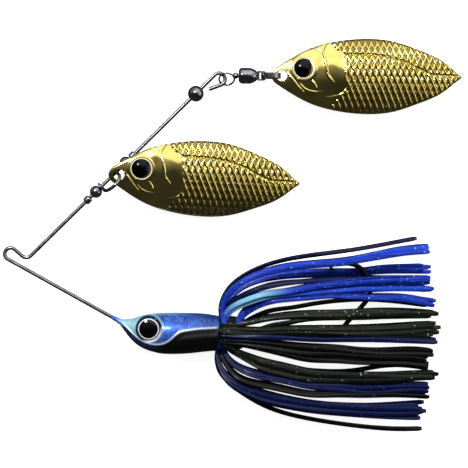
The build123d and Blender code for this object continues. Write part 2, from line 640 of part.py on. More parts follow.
nodes["skirt_band"] = tube_at(BAND_X, BAND_LENGTH, KEEPER_R, COLLAR_R)
nodes["skirt_collar"] = tube_at(HEAD_REAR_X, COLLAR_LENGTH, COLLAR_R, COLLAR_R + COLLAR_T)
counts = {}
for index, (colour, angle, across, layer) in enumerate(FAN):
    counts[colour] = counts.get(colour, 0) + 1
    nodes[f"skirt_{colour}_{counts[colour]}"] = make_tuft(index, angle, across, layer)

# The origin is under the middle of the lure, on the table.
box = Compound(children=list(nodes.values())).bounding_box()
SHIFT = Vector(-box.center().X, -box.center().Y, -box.min.Z)

os.makedirs("parts", exist_ok=True)
for name, shape in nodes.items():
    solids = [Pos(*SHIFT) * solid for solid in shape.solids()]
    export_step(solids[0] if len(solids) == 1 else Compound(solids), f"parts/{name}.step")
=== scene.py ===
import json
from math import cos, radians, sin
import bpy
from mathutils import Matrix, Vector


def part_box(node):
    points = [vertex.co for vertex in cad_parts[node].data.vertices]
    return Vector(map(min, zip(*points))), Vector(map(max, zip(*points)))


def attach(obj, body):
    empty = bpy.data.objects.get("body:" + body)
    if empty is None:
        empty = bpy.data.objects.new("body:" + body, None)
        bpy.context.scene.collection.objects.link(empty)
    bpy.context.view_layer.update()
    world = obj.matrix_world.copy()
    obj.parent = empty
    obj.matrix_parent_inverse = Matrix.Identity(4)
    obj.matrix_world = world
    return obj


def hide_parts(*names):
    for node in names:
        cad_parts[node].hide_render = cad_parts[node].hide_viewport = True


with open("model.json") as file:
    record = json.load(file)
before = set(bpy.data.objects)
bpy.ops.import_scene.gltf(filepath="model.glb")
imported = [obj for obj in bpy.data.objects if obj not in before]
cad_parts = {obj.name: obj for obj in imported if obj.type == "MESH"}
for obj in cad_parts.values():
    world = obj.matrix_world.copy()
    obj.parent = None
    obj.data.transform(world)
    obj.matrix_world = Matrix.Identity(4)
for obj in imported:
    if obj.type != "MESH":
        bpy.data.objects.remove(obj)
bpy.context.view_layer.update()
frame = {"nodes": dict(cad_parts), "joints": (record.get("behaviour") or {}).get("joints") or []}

from types import SimpleNamespace

import bpy
import bmesh
import numpy as np
from bpy.props import FloatProperty, FloatVectorProperty, IntProperty, PointerProperty
from mathutils import Matrix, Vector

# Double-blade spinnerbait: a painted jig head and a silicone skirt on a bent wire, with two
# scaled gold blades.  It is laid out as a Blender add-on and run as a script.

bl_info = {
    "name": "Double-blade spinnerbait",
    "version": (1, 0, 0),
    "blender": (4, 5, 0),
    "location": "View3D > Sidebar > Spinnerbait",
    "description": "Builds the looks of a skirted double-blade spinnerbait around its CAD frame",
    "category": "Object",
}

MM = 0.001
JOINTS = {joint["name"]: joint for joint in frame["joints"]}

# ---- places, in millimetres, in the lure's own frame ----
# The lure's frame has its origin at the middle of the lure on the lure plane, the level shared by
# the wire, the hook and the swivel.  The CAD places it: the printed eye lies over the shank line.
NOSE = np.array([-28.5, -21.9])
HEAD_LENGTH, HEAD_HEIGHT, HEAD_THICKNESS = 24.8, 10.4, 9.6
HEAD_DROP = 2.85
SHANK_Y = NOSE[1] - HEAD_DROP
HEAD_REAR_X = NOSE[0] + HEAD_LENGTH
HEAD_EYE = NOSE + np.array([7.3, 1.2 - HEAD_DROP])
SOCKET_R, SOCKET_DEPTH, SOCKET_WALL = 3.2, 1.85, 0.15
LOWER_ARM_ANGLE = 150.9
KEEPER_R, KEEPER_LENGTH = 2.2, 6.2
WIRE_R = 0.5
COLLAR_R = 4.05


def middle(node):
    """Middle of a CAD node's box, in millimetres."""
    low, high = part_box(node)
    return np.array((low + high) / 2) / MM


ORIGIN = middle("head_eye_near")
ORIGIN = np.array([ORIGIN[0] - HEAD_EYE[0], ORIGIN[1] - HEAD_EYE[1], middle("hook")[2]])


# ---- small tools ----
def linear(code):
    """Linear colour of an sRGB hex code: the sRGB curve on each of its three bytes."""
    srgb = np.array([int(code[i:i + 2], 16) for i in (1, 3, 5)]) / 255
    value = np.where(srgb <= 0.04045, srgb / 12.92, ((srgb + 0.055) / 1.055) ** 2.4)
    return (*value.tolist(), 1.0)


def smooth(low, high, x):
    """Smooth step: 0 below low, 1 above high, 3t^2 - 2t^3 between."""
    t = np.clip((x - low) / (high - low), 0, 1)
    return t * t * (3 - 2 * t)


def bell(distance, half):
    """Bell curve of a distance: 1 at 0, and 1/e where the distance is half."""
    return np.exp(-(distance / half) ** 2)


def curve(knots, values, at, start=None, end=None):
    """Cubic spline through values at rising knots, read at other places.

    Each span is a cubic Hermite whose slopes make the second derivative continuous; an end is
    clamped to a slope where one is given, and bends no further where none is."""
    knots, values = np.asarray(knots, float), np.asarray(values, float)
    gap = np.diff(knots)
    secant = (np.diff(values, axis=0).T / gap).T
    n = len(knots)
    system, right = np.zeros((n, n)), np.zeros_like(values)
    inner = np.arange(1, n - 1)
    system[inner, inner - 1] = gap[1:]
    system[inner, inner] = 2 * (gap[1:] + gap[:-1])
    system[inner, inner + 1] = gap[:-1]
    right[1:-1] = 3 * ((secant[:-1].T * gap[1:]).T + (secant[1:].T * gap[:-1]).T)
    for row, side, chord, slope in ((0, 1, secant[0], start), (n - 1, n - 2, secant[-1], end)):
        system[row, row] = 1 if slope is not None else 2
        system[row, side] = 0 if slope is not None else 1
        right[row] = slope if slope is not None else 3 * chord
    slopes = np.linalg.solve(system, right)
    at = np.asarray(at, float)
    i = np.clip(np.searchsorted(knots, at, "right") - 1, 0, n - 2)
    t = (at - knots[i]) / gap[i]
    shape = (...,) + (None,) * (values.ndim - 1)
    t, h = t[shape], gap[i][shape]
    return (
        values[i] * (1 + 2 * t) * (1 - t) ** 2 + values[i + 1] * t * t * (3 - 2 * t)
        + h * slopes[i] * t * (1 - t) ** 2 - h * slopes[i + 1] * t * t * (1 - t)
    )


def distance_to(points, x, y):
    """Distance from each (x, y) to a line through points, and how far along it, from 0 to 1."""
    points = np.asarray(points, float)
    nearest, along = np.full(np.shape(x), 1e9), np.zeros(np.shape(x))
    spans = np.linalg.norm(np.diff(points, axis=0), axis=1)
    total, done = spans.sum(), 0.0
    for a, b, span in zip(points[:-1], points[1:], spans):
        t = np.clip(((x - a[0]) * (b[0] - a[0]) + (y - a[1]) * (b[1] - a[1])) / span**2, 0, 1)
        gap = np.hypot(x - a[0] - t * (b[0] - a[0]), y - a[1] - t * (b[1] - a[1]))
        along = np.where(gap < nearest, (done + t * span) / total, along)
        nearest = np.minimum(gap, nearest)
        done += span
    return nearest, along


def grid_faces(rows, columns, closed=False):
    """Quads between neighbouring points of a grid, round again to the first column if closed."""
    row, column = np.indices((rows - 1, columns if closed else columns - 1))
    beside = (column + 1) % columns
    corners = (row * columns + column, row * columns + beside,
               (row + 1) * columns + beside, (row + 1) * columns + column)
    return np.stack(corners, -1).reshape(-1, 4)


def add_piece(name, points, faces, values=None, body="lure", slot=None, material=None, merge=0.0):
    """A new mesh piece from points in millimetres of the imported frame, at the origin, smooth.

    values are numbers for each point, kept as attributes.  merge joins points closer than that
    many millimetres and turns the faces outwards."""
    mesh = bpy.data.meshes.new(name)
    mesh.from_pydata((points.reshape(-1, 3) * MM).tolist(), [], [list(face) for face in faces])
    for key, value in (values or {}).items():
        attribute = mesh.attributes.new(key, "FLOAT", "POINT")
        attribute.data.foreach_set("value", np.asarray(value, np.float32).ravel())
    if merge:
        shell = bmesh.new()
        shell.from_mesh(mesh)
        bmesh.ops.remove_doubles(shell, verts=shell.verts, dist=merge * MM)
        bmesh.ops.recalc_face_normals(shell, faces=shell.faces)
        shell.to_mesh(mesh)
        shell.free()
    mesh.polygons.foreach_set("use_smooth", np.ones(len(mesh.polygons), bool))
    mesh.materials.append(material)
    piece = bpy.data.objects.new(name, mesh)
    bpy.context.scene.collection.objects.link(piece)
    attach(piece, body)
    return piece


def paint_node(node, material):
    """Gives a CAD node a better material, in the slots that it already has."""
    for slot in frame["nodes"][node].material_slots:
        slot.material = material


def add_node(tree, kind, sockets=None, **settings):
    """Adds a shader node with its settings; a socket gets a value, or a link from an output."""
    made = tree.nodes.new("ShaderNode" + kind)
    for name, value in settings.items():
        setattr(made, name, value)
    for name, value in (sockets or {}).items():
        if isinstance(value, bpy.types.NodeSocket):
            tree.links.new(value, made.inputs[name])
        else:
            made.inputs[name].default_value = value
    return made


def new_material(name):
    """An empty node material with a Principled surface: the tree and the shader."""
    material = bpy.data.materials.new(name)
    material.use_nodes = True
    tree = material.node_tree
    tree.nodes.clear()
    shader = add_node(tree, "BsdfPrincipled")
    add_node(tree, "OutputMaterial", {"Surface": shader.outputs[0]})
    return material, tree, shader


def settle(tree, shader, **sockets):
    """Sets or links the shader's own sockets, their names written with underscores."""
    for name, value in sockets.items():
        socket = shader.inputs[name.replace("_", " ")]
        if isinstance(value, bpy.types.NodeSocket):
            tree.links.new(value, socket)
        else:
            socket.default_value = value


# ---- materials ----
FACTOR, COLOR_A, COLOR_B, MIXED = 0, 6, 7, 2     # sockets of a colour Mix node


def grains(tree, size_mm, detail=2.0, stretch=(1, 1, 1), kind="TexNoise"):
    """Noise, or the colours of cells, in Object coordinates with grains size_mm across."""
    place = add_node(tree, "TexCoord").outputs["Object"]
    mapping = add_node(tree, "Mapping", {"Vector": place, "Scale": stretch})
    sockets = {"Vector": mapping.outputs[0], "Scale": 1 / (size_mm * MM)}
    if kind == "TexVoronoi":
        return add_node(tree, kind, sockets).outputs["Color"]
    return add_node(tree, kind, {**sockets, "Detail": detail}).outputs["Fac"]


def mixed(tree, factor, low, high):
    """Colour that goes from low to high with a factor; each is a hex code or a socket."""
    low, high = (linear(c) if isinstance(c, str) else c for c in (low, high))
    sockets = {FACTOR: factor, COLOR_A: low, COLOR_B: high}
    return add_node(tree, "Mix", sockets, data_type="RGBA").outputs[MIXED]


def ranged(tree, value, low, high, to_low=0.0, to_high=1.0):
    """A value moved from one range to another, and held inside it."""
    sockets = {0: value, 1: low, 2: high, 3: to_low, 4: to_high}
    return add_node(tree, "MapRange", sockets).outputs[0]


def bumped(tree, height, depth_mm, strength=1.0):
    """Bump from a height that runs from 0 to 1, depth_mm deep."""
    sockets = {"Height": height, "Distance": depth_mm * MM, "Strength": strength}
    return add_node(tree, "Bump", sockets).outputs[0]


def attribute(tree, name):
    """One of the piece's own numbers, kept at its points."""
    return add_node(tree, "Attribute", attribute_name=name).outputs["Fac"]


def worked(tree, kind, operation, *values, **settings):
    """A maths node of one operation, with its values in order."""
    return add_node(tree, kind, dict(enumerate(values)), operation=operation, **settings)


def metal(name, tint, light, haze_mm, detail, rough, bump=None):
    """Metal whose tone and roughness drift over one haze.

    bump is the fine grain's size, detail, depth and strength."""
    material, tree, shader = new_material(name)
    haze = grains(tree, haze_mm, detail)
    settle(
        tree, shader, Metallic=1.0, Base_Color=mixed(tree, haze, tint, light),
        Roughness=ranged(tree, haze, 0.3, 0.7, *rough),
    )
    if bump:
        grain_mm, grain_detail, depth, strength = bump
        grain = grains(tree, grain_mm, grain_detail)
        settle(tree, shader, Normal=bumped(tree, grain, depth, strength))
    return material


def drawn_spring_wire(tint):
    """Stainless spring wire, drawn through a die: bright, with soft grey smears along it."""
    return metal("drawn_spring_wire", tint, "#969498", 2.5, 3, (0.24, 0.36), (0.12, 2, 0.003, 0.4))


def black_nickel(tint):
    """Bright black nickel plate on brass: a dark mirror with slightly hazy patches."""
    return metal("black_nickel_plate", tint, "#A6A6AC", 1.1, 3, (0.10, 0.26))


def forged_hook(tint):
    """Forged hook steel under black nickel: darker and duller than the hardware."""
    return metal("forged_hook_steel", tint, "#34353A", 0.7, 4, (0.24, 0.42), (0.7, 4, 0.02, 0.4))


def ground_steel(tint):
    """Ground bearing balls: clean bright steel with fine grinding haze."""
    return metal("ground_steel", tint, tint, 0.2, 2, (0.116, 0.164))


def gold_plate(bright, deep):
    """Stamped brass with gold plate: pale yellow mirror, with a browner gold in the bottoms of the scales
    as painted shade.

    The attribute of the scale hollows is 1 in the bottom of a scale, where it darkens the gold as painted
    shade and makes it rougher; fine orange peel from the stamping breaks the mirror up."""
    material, tree, shader = new_material("stamped_gold_plate")
    peel = grains(tree, 0.5, detail=3)
    cloud = ranged(tree, grains(tree, 5.0, detail=2), 0.35, 0.65, 0.0, 0.35)
    recess = attribute(tree, "recess")
    settle(
        tree, shader, Metallic=1.0,
        # Painted shade: the bottoms of the scales take the deep gold.
        Base_Color=mixed(tree, recess, mixed(tree, cloud, bright, deep), deep),
        Roughness=ranged(tree, recess, 0, 1, 0.13, 0.24),
        Normal=bumped(tree, peel, 0.012, 0.35),
    )
    return material


FLAKE_METAL = 0.3                     # how metallic the full blue coat is


def jig_head_paint(blue, pearl, black):
    """Jig head enamel under clear gloss: blue flake above, black below, pearl at the nose.

    "blue" and "pearl" are the masks of the sprayed coats; in the sockets the blue gives way to near black
    as painted shade.  "line" is the pale paint edge where the blue coat ends on the crease, whitened as a
    painted highlight, with a painted reflection on each socket's rim.  The flake lies in 0.3 mm cells, the
    brightest of which sparkle."""
    material, tree, shader = new_material("jig_head_paint")
    flake = grains(tree, 0.30, kind="TexVoronoi")
    grain = add_node(tree, "SeparateColor", {"Color": flake}).outputs[0]
    cloud = grains(tree, 2.2, detail=3)
    deep = mixed(tree, ranged(tree, cloud, 0.35, 0.65), "#203F9E", blue)
    sparkle = mixed(tree, ranged(tree, grain, 0.72, 1.0, 0.0, 0.55), deep, "#6FA6F0")
    nose = mixed(tree, attribute(tree, "pearl"), sparkle, pearl)
    coat = mixed(tree, attribute(tree, "blue"), black, nose)
    metallic = worked(tree, "Math", "MULTIPLY", attribute(tree, "blue"), FLAKE_METAL)
    settle(
        tree, shader,
        # The line mask mixes in near white: painted highlight on the crease's paint edge and painted
        # reflection on the socket rims.
        Base_Color=mixed(tree, attribute(tree, "line"), coat, "#F2FBFF"),
        Metallic=metallic.outputs[0],
        Roughness=ranged(tree, grain, 0, 1, 0.28, 0.42),
        Specular_IOR_Level=0.25, Coat_Weight=0.2, Coat_Roughness=0.05,
        Normal=bumped(tree, grain, 0.01, 0.25),
    )
    return material


PRINT_BLUR = 0.05                     # soft edge of the printed pupil, each way


def eye_print(name, centre, pupil_r, ring):
    """Printed foil eye under clear epoxy: black pupil with a silver ring, read about its centre."""
    material, tree, shader = new_material(name)
    place = add_node(tree, "TexCoord").outputs["Object"]
    kind = "VectorMath"
    away = worked(tree, kind, "SUBTRACT", place, tuple(centre * MM)).outputs[0]
    level = worked(tree, kind, "MULTIPLY", away, (1.0, 1.0, 0.0)).outputs[0]
    radius = worked(tree, kind, "LENGTH", level).outputs["Value"]
    rim = ranged(tree, radius, (pupil_r - PRINT_BLUR) * MM, (pupil_r + PRINT_BLUR) * MM)
    silver = mixed(tree, grains(tree, 0.4), ring, "#FFFFFF")
    print_colour = mixed(tree, rim, "#050506", silver)
    settle(tree, shader, Base_Color=print_colour, Roughness=0.05, Specular_IOR_Level=0.25)
    return material


def enamel(name, tint):
    """Ring of cream enamel round a blade's eye: glossy, slightly clouded."""
    material, tree, shader = new_material(name)
    cloud = grains(tree, 0.8)
    settle(tree, shader, Base_Color=mixed(tree, cloud, tint, "#FFFBEA"), Roughness=0.2, Coat_Weight=0.5)
    return material


def enamel_black():
    """Black glass-like enamel dome of a blade's eye, under clear gloss."""
    material, tree, shader = new_material("black_enamel_dome")
    tone = mixed(tree, grains(tree, 1.0), "#010102", "#060608")
    settle(tree, shader, Base_Color=tone, Roughness=0.04, Specular_IOR_Level=0.16)
    return material


def band_rubber(tint):
    """Vulcanised rubber band: matte black with a dusty bloom."""
    material, tree, shader = new_material("band_rubber")
    bloom = grains(tree, 0.5, detail=4)
    settle(
        tree, shader, Base_Color=mixed(tree, bloom, tint, "#2A2A2A"), Roughness=0.7,
        Normal=bumped(tree, bloom, 0.03, 0.5),
    )
    return material


def skirt_silicone(name, light, dark, pearl, spark, flake_share):
    """Cast silicone strand with fine glitter: satin, each strand lighter or darker than the next.

    "tint" mixes the strand's two colours and "pearl" is where the foil print shows.  Glitter
    lies in 0.3 mm cells, of which only flake_share light up."""
    material, tree, shader = new_material(name)
    streak = grains(tree, 0.5, detail=3, stretch=(0.12, 1, 1))
    streaks = ranged(tree, streak, 0.3, 0.7, -0.3, 0.3)
    shade = worked(tree, "Math", "ADD", attribute(tree, "tint"), streaks, use_clamp=True)
    body = mixed(tree, shade.outputs[0], dark, light)
    printed = mixed(tree, attribute(tree, "pearl"), body, pearl)
    cells = grains(tree, 0.3, kind="TexVoronoi")
    cell = add_node(tree, "SeparateColor", {"Color": cells}).outputs[1]
    settle(
        tree, shader,
        Base_Color=mixed(tree, ranged(tree, cell, 1 - flake_share, 1.0), printed, spark),
        Roughness=ranged(tree, streak, 0.3, 0.7, 0.26, 0.42),
        Specular_IOR_Level=0.12, Coat_Weight=0.05, Coat_Roughness=0.12,
        Normal=bumped(tree, streak, 0.05, 0.4),
    )
    return material


# ---- blades ----
BLADE_LENGTH, BLADE_WIDTH, BLADE_T = 48.35, 18.6, 0.5
BLADE_DEPTH, BLADE_BOW_R = 2.4, 116.0
BLADE_CROSS_R = ((BLADE_WIDTH / 2) ** 2 + BLADE_DEPTH**2) / (2 * BLADE_DEPTH)
HOLE_R, HOLE_EDGE = 1.35, 2.4
HOLE_SLACK = 0.55                     # split ring wire to the rear blade's hole
BLADE_MID = BLADE_LENGTH / 2 - HOLE_EDGE
TIP_X = BLADE_LENGTH - HOLE_EDGE
BLADE_SHARES = (                      # share of the length, share of the half width
    (0.09, 0.44), (0.184, 0.70), (0.30, 0.887), (0.48, 1.0), (0.641, 0.925), (0.771, 0.70), (0.90, 0.385),
)
NOSE_END = radians(55)                # where the round nose meets the side
SIDE_START_SLOPE, TIP_SLOPE = 0.70, -0.58
BLADE_EYE, BLADE_EYE_R = (5.4, 1.8), 2.45
EYE_RING_GAP, EYE_RING_WIRE, EYE_RING_LIFT = 0.13, 0.15, 0.18
FRONT_TURN, FRONT_ROLL = -2.6, 5.0
TIP_REST = 0.6                        # plate thicknesses between the tip's middle and the table

# Lines pressed into a blade's cheek, from the hole at (0, 0) with the tip along +x: points,
# height (a groove is negative) and half width.
CHEEK_LINES = (
    (((1.5, 0.6), (2.6, -0.9), (3.8, -2.5), (5.3, -4.1)), 0.30, 0.20),                  # mouth
    (((10.3, 5.6), (10.6, 4.2), (10.95, 2.4), (11.25, 0.4)), 0.30, 0.20),              # gill
    (((11.3, 0.2), (12.0, -0.8), (12.8, -1.8)), 0.26, 0.18),
    (((7.6, -1.4), (8.1, -2.2), (8.5, -3.2)), 0.26, 0.18),
    (((4.0, -0.9), (4.5, -2.2), (5.6, -3.3), (6.9, -3.9), (8.5, -4.15), (10.1, -4.05)), 0.16, 0.20),
    (((10.2, -5.4), (12.0, -5.4), (13.6, -5.1), (16.0, -4.3)), 0.16, 0.20),            # jaw
    (((12.3, 7.8), (13.4, 6.8), (14.6, 6.0), (15.8, 5.4)), -0.20, 0.22),               # gill cover
    (((7.4, 6.9), (8.6, 6.75), (9.6, 6.1), (10.3, 5.2)), -0.16, 0.22),                 # brow
    (((10.2, 5.6), (10.5, 6.8), (11.3, 8.0)), -0.14, 0.22),
)
CHEEK_SWELLS = (                      # middle, half sizes and height: brow and gill cover
    ((8.7, 5.5), (1.4, 1.4), 0.16), ((13.2, 3.6), (1.9, 2.8), 0.14),
)
LATERAL_LINE = ((15.9, 5.4), (22.8, 5.3), (26.6, 4.8), (30.7, 3.7), (34.5, 1.9), (37.8, 0.45), (44.5, 0.3))
LATERAL_DEPTH, LATERAL_HALF = 0.16, 0.24
SCALE_EDGE = (                        # where the scales begin behind the cheek: y, x
    (-9.5, 10.8), (-8, 12.0), (-3, 16.3), (0, 15.7), (5, 15.8), (7.7, 12.8), (9.5, 10.8),
)
EDGE_RISE, EDGE_HALF, EDGE_MIDDLE_Y = 0.16, 0.2, 1.0
SEAT_RISE, SEAT_OUT, SEAT_HALF = 0.10, 0.5, 0.35     # ridge pressed up round the eye
RIM_FALL, RIM_HALF = 0.16, 0.3        # the blade's rim is pressed down
HOLE_LAND = 0.9                       # the relief fades out this near to the hole
SECOND_RIDGE, CROSSING, HOLLOW = 0.75, 0.25, 0.25    # as shares of the scales' height


def dish(x, y):
    """Height of a blade's middle surface: a torus, bowed along and rounder across."""
    across = BLADE_BOW_R - BLADE_CROSS_R + np.sqrt(BLADE_CROSS_R**2 - y**2)
    return np.sqrt(across**2 - (x - BLADE_MID) ** 2) - BLADE_BOW_R


def blade_half_width(x):
    """Half width: a circle about the hole, then a clamped spline through the shoulder to the tip."""
    shares = np.array(BLADE_SHARES)
    start = (-HOLE_EDGE * cos(NOSE_END), HOLE_EDGE * sin(NOSE_END))
    knots = np.concatenate([[start[0]], shares[:, 0] * BLADE_LENGTH - HOLE_EDGE, [TIP_X]])
    widths = np.concatenate([[start[1]], shares[:, 1] * BLADE_WIDTH / 2, [0]])
    side = curve(knots, widths, np.maximum(x, start[0]), SIDE_START_SLOPE, TIP_SLOPE)
    nose = np.sqrt(np.maximum(HOLE_EDGE**2 - np.minimum(x, 0) ** 2, 0))
    return np.where(x < start[0], nose, np.maximum(side, 0))


def scale_field(x, y, s):
    """Pressed fish scales: height, and how deep in a scale a point is.

    u and v count the two families of slanting ridges, x/pitch +- y/(2 row); a ridge is a raised
    cosine of the distance to the nearest whole number, and between ridges the scale is hollow."""
    spacing = 1 / np.sqrt(1 / s.scale_pitch**2 + 1 / (2 * s.scale_row) ** 2)
    u = x / s.scale_pitch + y / (2 * s.scale_row)
    v = x / s.scale_pitch - y / (2 * s.scale_row)
    to_ridge = np.abs(np.stack([u - np.round(u), v - np.round(v)])) * spacing / s.ridge_width
    ridge_u, ridge_v = 0.5 + 0.5 * np.cos(np.pi * np.minimum(to_ridge, 1))
    hollow = np.abs(np.sin(np.pi * u) * np.sin(np.pi * v))
    ridges = np.maximum(ridge_u, ridge_v * SECOND_RIDGE) + CROSSING * ridge_u * ridge_v
    return s.scale_height * (ridges - HOLLOW * hollow), hollow


def blade_relief(x, y, s):
    """Everything pressed into a blade: scales behind the cheek, its lines, and the eye's seat."""
    edge_y, edge_x = np.array(SCALE_EDGE).T
    behind = x - np.interp(y, edge_y, edge_x)
    margin = np.maximum(blade_half_width(x) - np.abs(y), 0)
    groove = bell(distance_to(LATERAL_LINE, x, y)[0], LATERAL_HALF)
    scaled = smooth(-0.1, 0.35, behind) * smooth(0.1, 0.45, margin) * (1 - groove)
    height, hollow = scale_field(x, y, s)
    relief = height * scaled - LATERAL_DEPTH * groove
    off_middle = np.abs(y - EDGE_MIDDLE_Y)
    relief += EDGE_RISE * bell(behind, EDGE_HALF) * smooth(0.1, 0.6, margin) * smooth(8.5, 5.0, off_middle)
    for points, rise, half in CHEEK_LINES:
        gap, along = distance_to(points, x, y)
        relief += rise * bell(gap, half) * np.sin(np.pi * np.clip(along, 0.08, 0.92)) ** 0.5
    for middle_at, halves, rise in CHEEK_SWELLS:
        relief += rise * bell(np.hypot((x - middle_at[0]) / halves[0], (y - middle_at[1]) / halves[1]), 1)
    seat = np.hypot(x - BLADE_EYE[0], y - BLADE_EYE[1])
    relief += SEAT_RISE * bell(seat - BLADE_EYE_R - SEAT_OUT, SEAT_HALF)
    relief *= smooth(HOLE_R, HOLE_R + HOLE_LAND, np.hypot(x, y))
    relief -= RIM_FALL * bell(margin, RIM_HALF)
    return relief, hollow * scaled


def blade_place(hole, turn, roll):
    """Placement of a blade whose tip rests on the table: turned in plan, pitched, rolled."""
    table = ORIGIN[2] - HEAD_THICKNESS / 2
    fall = hole[2] - table - dish(0, 0) + dish(TIP_X, 0) - BLADE_T * TIP_REST
    return (
        Matrix.Translation(hole) @ Matrix.Rotation(radians(turn), 4, "Z")
        @ Matrix.Rotation(np.arcsin(fall / TIP_X), 4, "Y") @ Matrix.Rotation(radians(roll), 4, "X")
        @ Matrix.Translation((0, 0, -dish(0, 0)))
    )


def placed(points, place):
    """Points moved by a placement, as whole arrays."""
    move = np.array(place)
    return points @ move[:3, :3].T + move[:3, 3]


def blade_shell(place, s):
    """One blade as two grids, each from the middle line out to one side.

    Inner points run round the hole by angle and then along y = 0; outer points follow the
    outline at the same share of the length; v goes straight across between them."""
    angle = np.pi * (1 - np.linspace(0, 1, s.hole_stations))
    inner_x = np.concatenate([HOLE_R * np.cos(angle), np.linspace(HOLE_R, TIP_X, s.along_stations)[1:]])
    inner_y = np.concatenate([HOLE_R * np.sin(angle), np.zeros(s.along_stations - 1)])
    spread = (inner_x + HOLE_R) / (2 * HOLE_R) * (HOLE_R + HOLE_EDGE) - HOLE_EDGE
    outer_x = np.where(inner_x < HOLE_R, spread, inner_x)
    outer_y = blade_half_width(outer_x)
    v = np.linspace(0, 1, s.across_stations)
    x = inner_x[:, None] * (1 - v) + outer_x[:, None] * v
    y = inner_y[:, None] * (1 - v) + outer_y[:, None] * v
    x, y = np.stack([x, x]), np.stack([y, -y])
    relief, hollow = blade_relief(x, y, s)
    points = np.stack([x, y, dish(x, y) + relief], -1)
    faces = grid_faces(len(inner_x), len(v))
    return placed(points, place), np.concatenate([faces, faces[:, ::-1] + x[0].size]), hollow


def ring_shell(centre, radius, wire, place, around=72, section=14):
    """Torus: a circle of wire carried round a circle, standing on a blade's surface."""
    a = np.linspace(0, 2 * np.pi, around, endpoint=False)[:, None]
    b = np.linspace(0, 2 * np.pi, section, endpoint=False)[None, :]
    reach = radius + wire * np.cos(b)
    x, y = centre[0] + reach * np.cos(a), centre[1] + reach * np.sin(a)
    z = dish(x, y) + BLADE_T / 2 + EYE_RING_LIFT + wire * np.sin(b)
    faces = grid_faces(around + 1, section, closed=True) % (around * section)
    return placed(np.stack([x, y, z], -1), place), faces


# ---- head ----
# Share of the head's length, then centre height, half height and half thickness as shares of
# HEAD_HEIGHT and HEAD_THICKNESS; the centre height is measured up from the shank line.
NOSE_R = 0.75
HEAD_SECTIONS = np.array((
    (0.0, HEAD_DROP / HEAD_HEIGHT, NOSE_R / HEAD_HEIGHT, NOSE_R / HEAD_THICKNESS),
    (0.05, 0.18, 0.155, 0.135), (0.12, 0.09, 0.265, 0.22), (0.20, 0.04, 0.37, 0.31),
    (0.30, 0.015, 0.45, 0.40), (0.42, -0.005, 0.49, 0.47), (0.56, -0.005, 0.50, 0.50),
    (0.72, 0.0, 0.485, 0.495), (0.87, 0.01, 0.455, 0.465), (1.0, 0.0, 0.415, 0.425),
))
# The crease where the blue coat ends, from the nose to the rear face.
CREASE = np.array((
    (-28.3, -22.35), (-26.9, -23.3), (-24.8, -25.3), (-22.7, -26.75), (-20.9, -27.4), (-19.0, -27.6),
    (-17.2, -27.2), (-15.8, -26.35), (-14.6, -25.3), (-13.5, -24.5), (-11.6, -24.0), (-9.3, -23.7),
    (-7.0, -23.55), (-3.6, -23.4),
))
REAR_SLOPES = (0.0, -0.35, -0.35)     # of the sections at the rear face
REAR_ROUND, REAR_FACE_X = 0.18, 0.14  # how far the rear face's edge stands in, and its place
KEEPER_PROFILE = np.array((           # distance behind the head and radius, out to the barb
    (0.2, KEEPER_R), (4.9, KEEPER_R), (5.0, KEEPER_R), (5.15, 2.6),
    (KEEPER_LENGTH - 0.1, 2.3), (KEEPER_LENGTH, 0.3),
))
CREEP_STATIONS, FACE_STATIONS = 12, 6
PAINT_CREEP = 2.6                     # paint drawn up the wire from the nose


def head_rows(s):
    """Sections along the head: x, centre height, half height and half thickness of an oval.

    The paint creeps up the wire, the casting swells through its sections on a spline, turns in
    to the keeper, and ends in the keeper's barb."""
    lean = radians(180 - LOWER_ARM_ANGLE)
    up = np.linspace(1, 0, CREEP_STATIONS)[:-1]
    creep_r = WIRE_R + (NOSE_R - WIRE_R) * (1 - up) ** 1.5
    creep_x, creep_y = NOSE[0] - PAINT_CREEP * up * cos(lean), NOSE[1] + PAINT_CREEP * up * sin(lean)
    share = np.linspace(0, 1, s.along_stations)
    centre, high, thick = curve(HEAD_SECTIONS[:, 0], HEAD_SECTIONS[:, 1:], share, end=REAR_SLOPES).T
    centre, high, thick = SHANK_Y + centre * HEAD_HEIGHT, high * HEAD_HEIGHT, thick * HEAD_THICKNESS
    turn_in = np.linspace(0, 1, FACE_STATIONS + 1)[1:]
    face_high, face_thick = (
        (half[-1] - REAR_ROUND) * (1 - turn_in) + KEEPER_R * turn_in for half in (high, thick)
    )
    run, radius = KEEPER_PROFILE.T
    face_x = np.full(FACE_STATIONS, HEAD_REAR_X + REAR_FACE_X)
    return (
        np.concatenate([creep_x, NOSE[0] + share * HEAD_LENGTH, face_x, HEAD_REAR_X + run]),
        np.concatenate([creep_y, centre, np.full(FACE_STATIONS + len(run), SHANK_Y)]),
        np.concatenate([creep_r / cos(lean), high, face_high, radius]),
        np.concatenate([creep_r, thick, face_thick, radius]),
    )


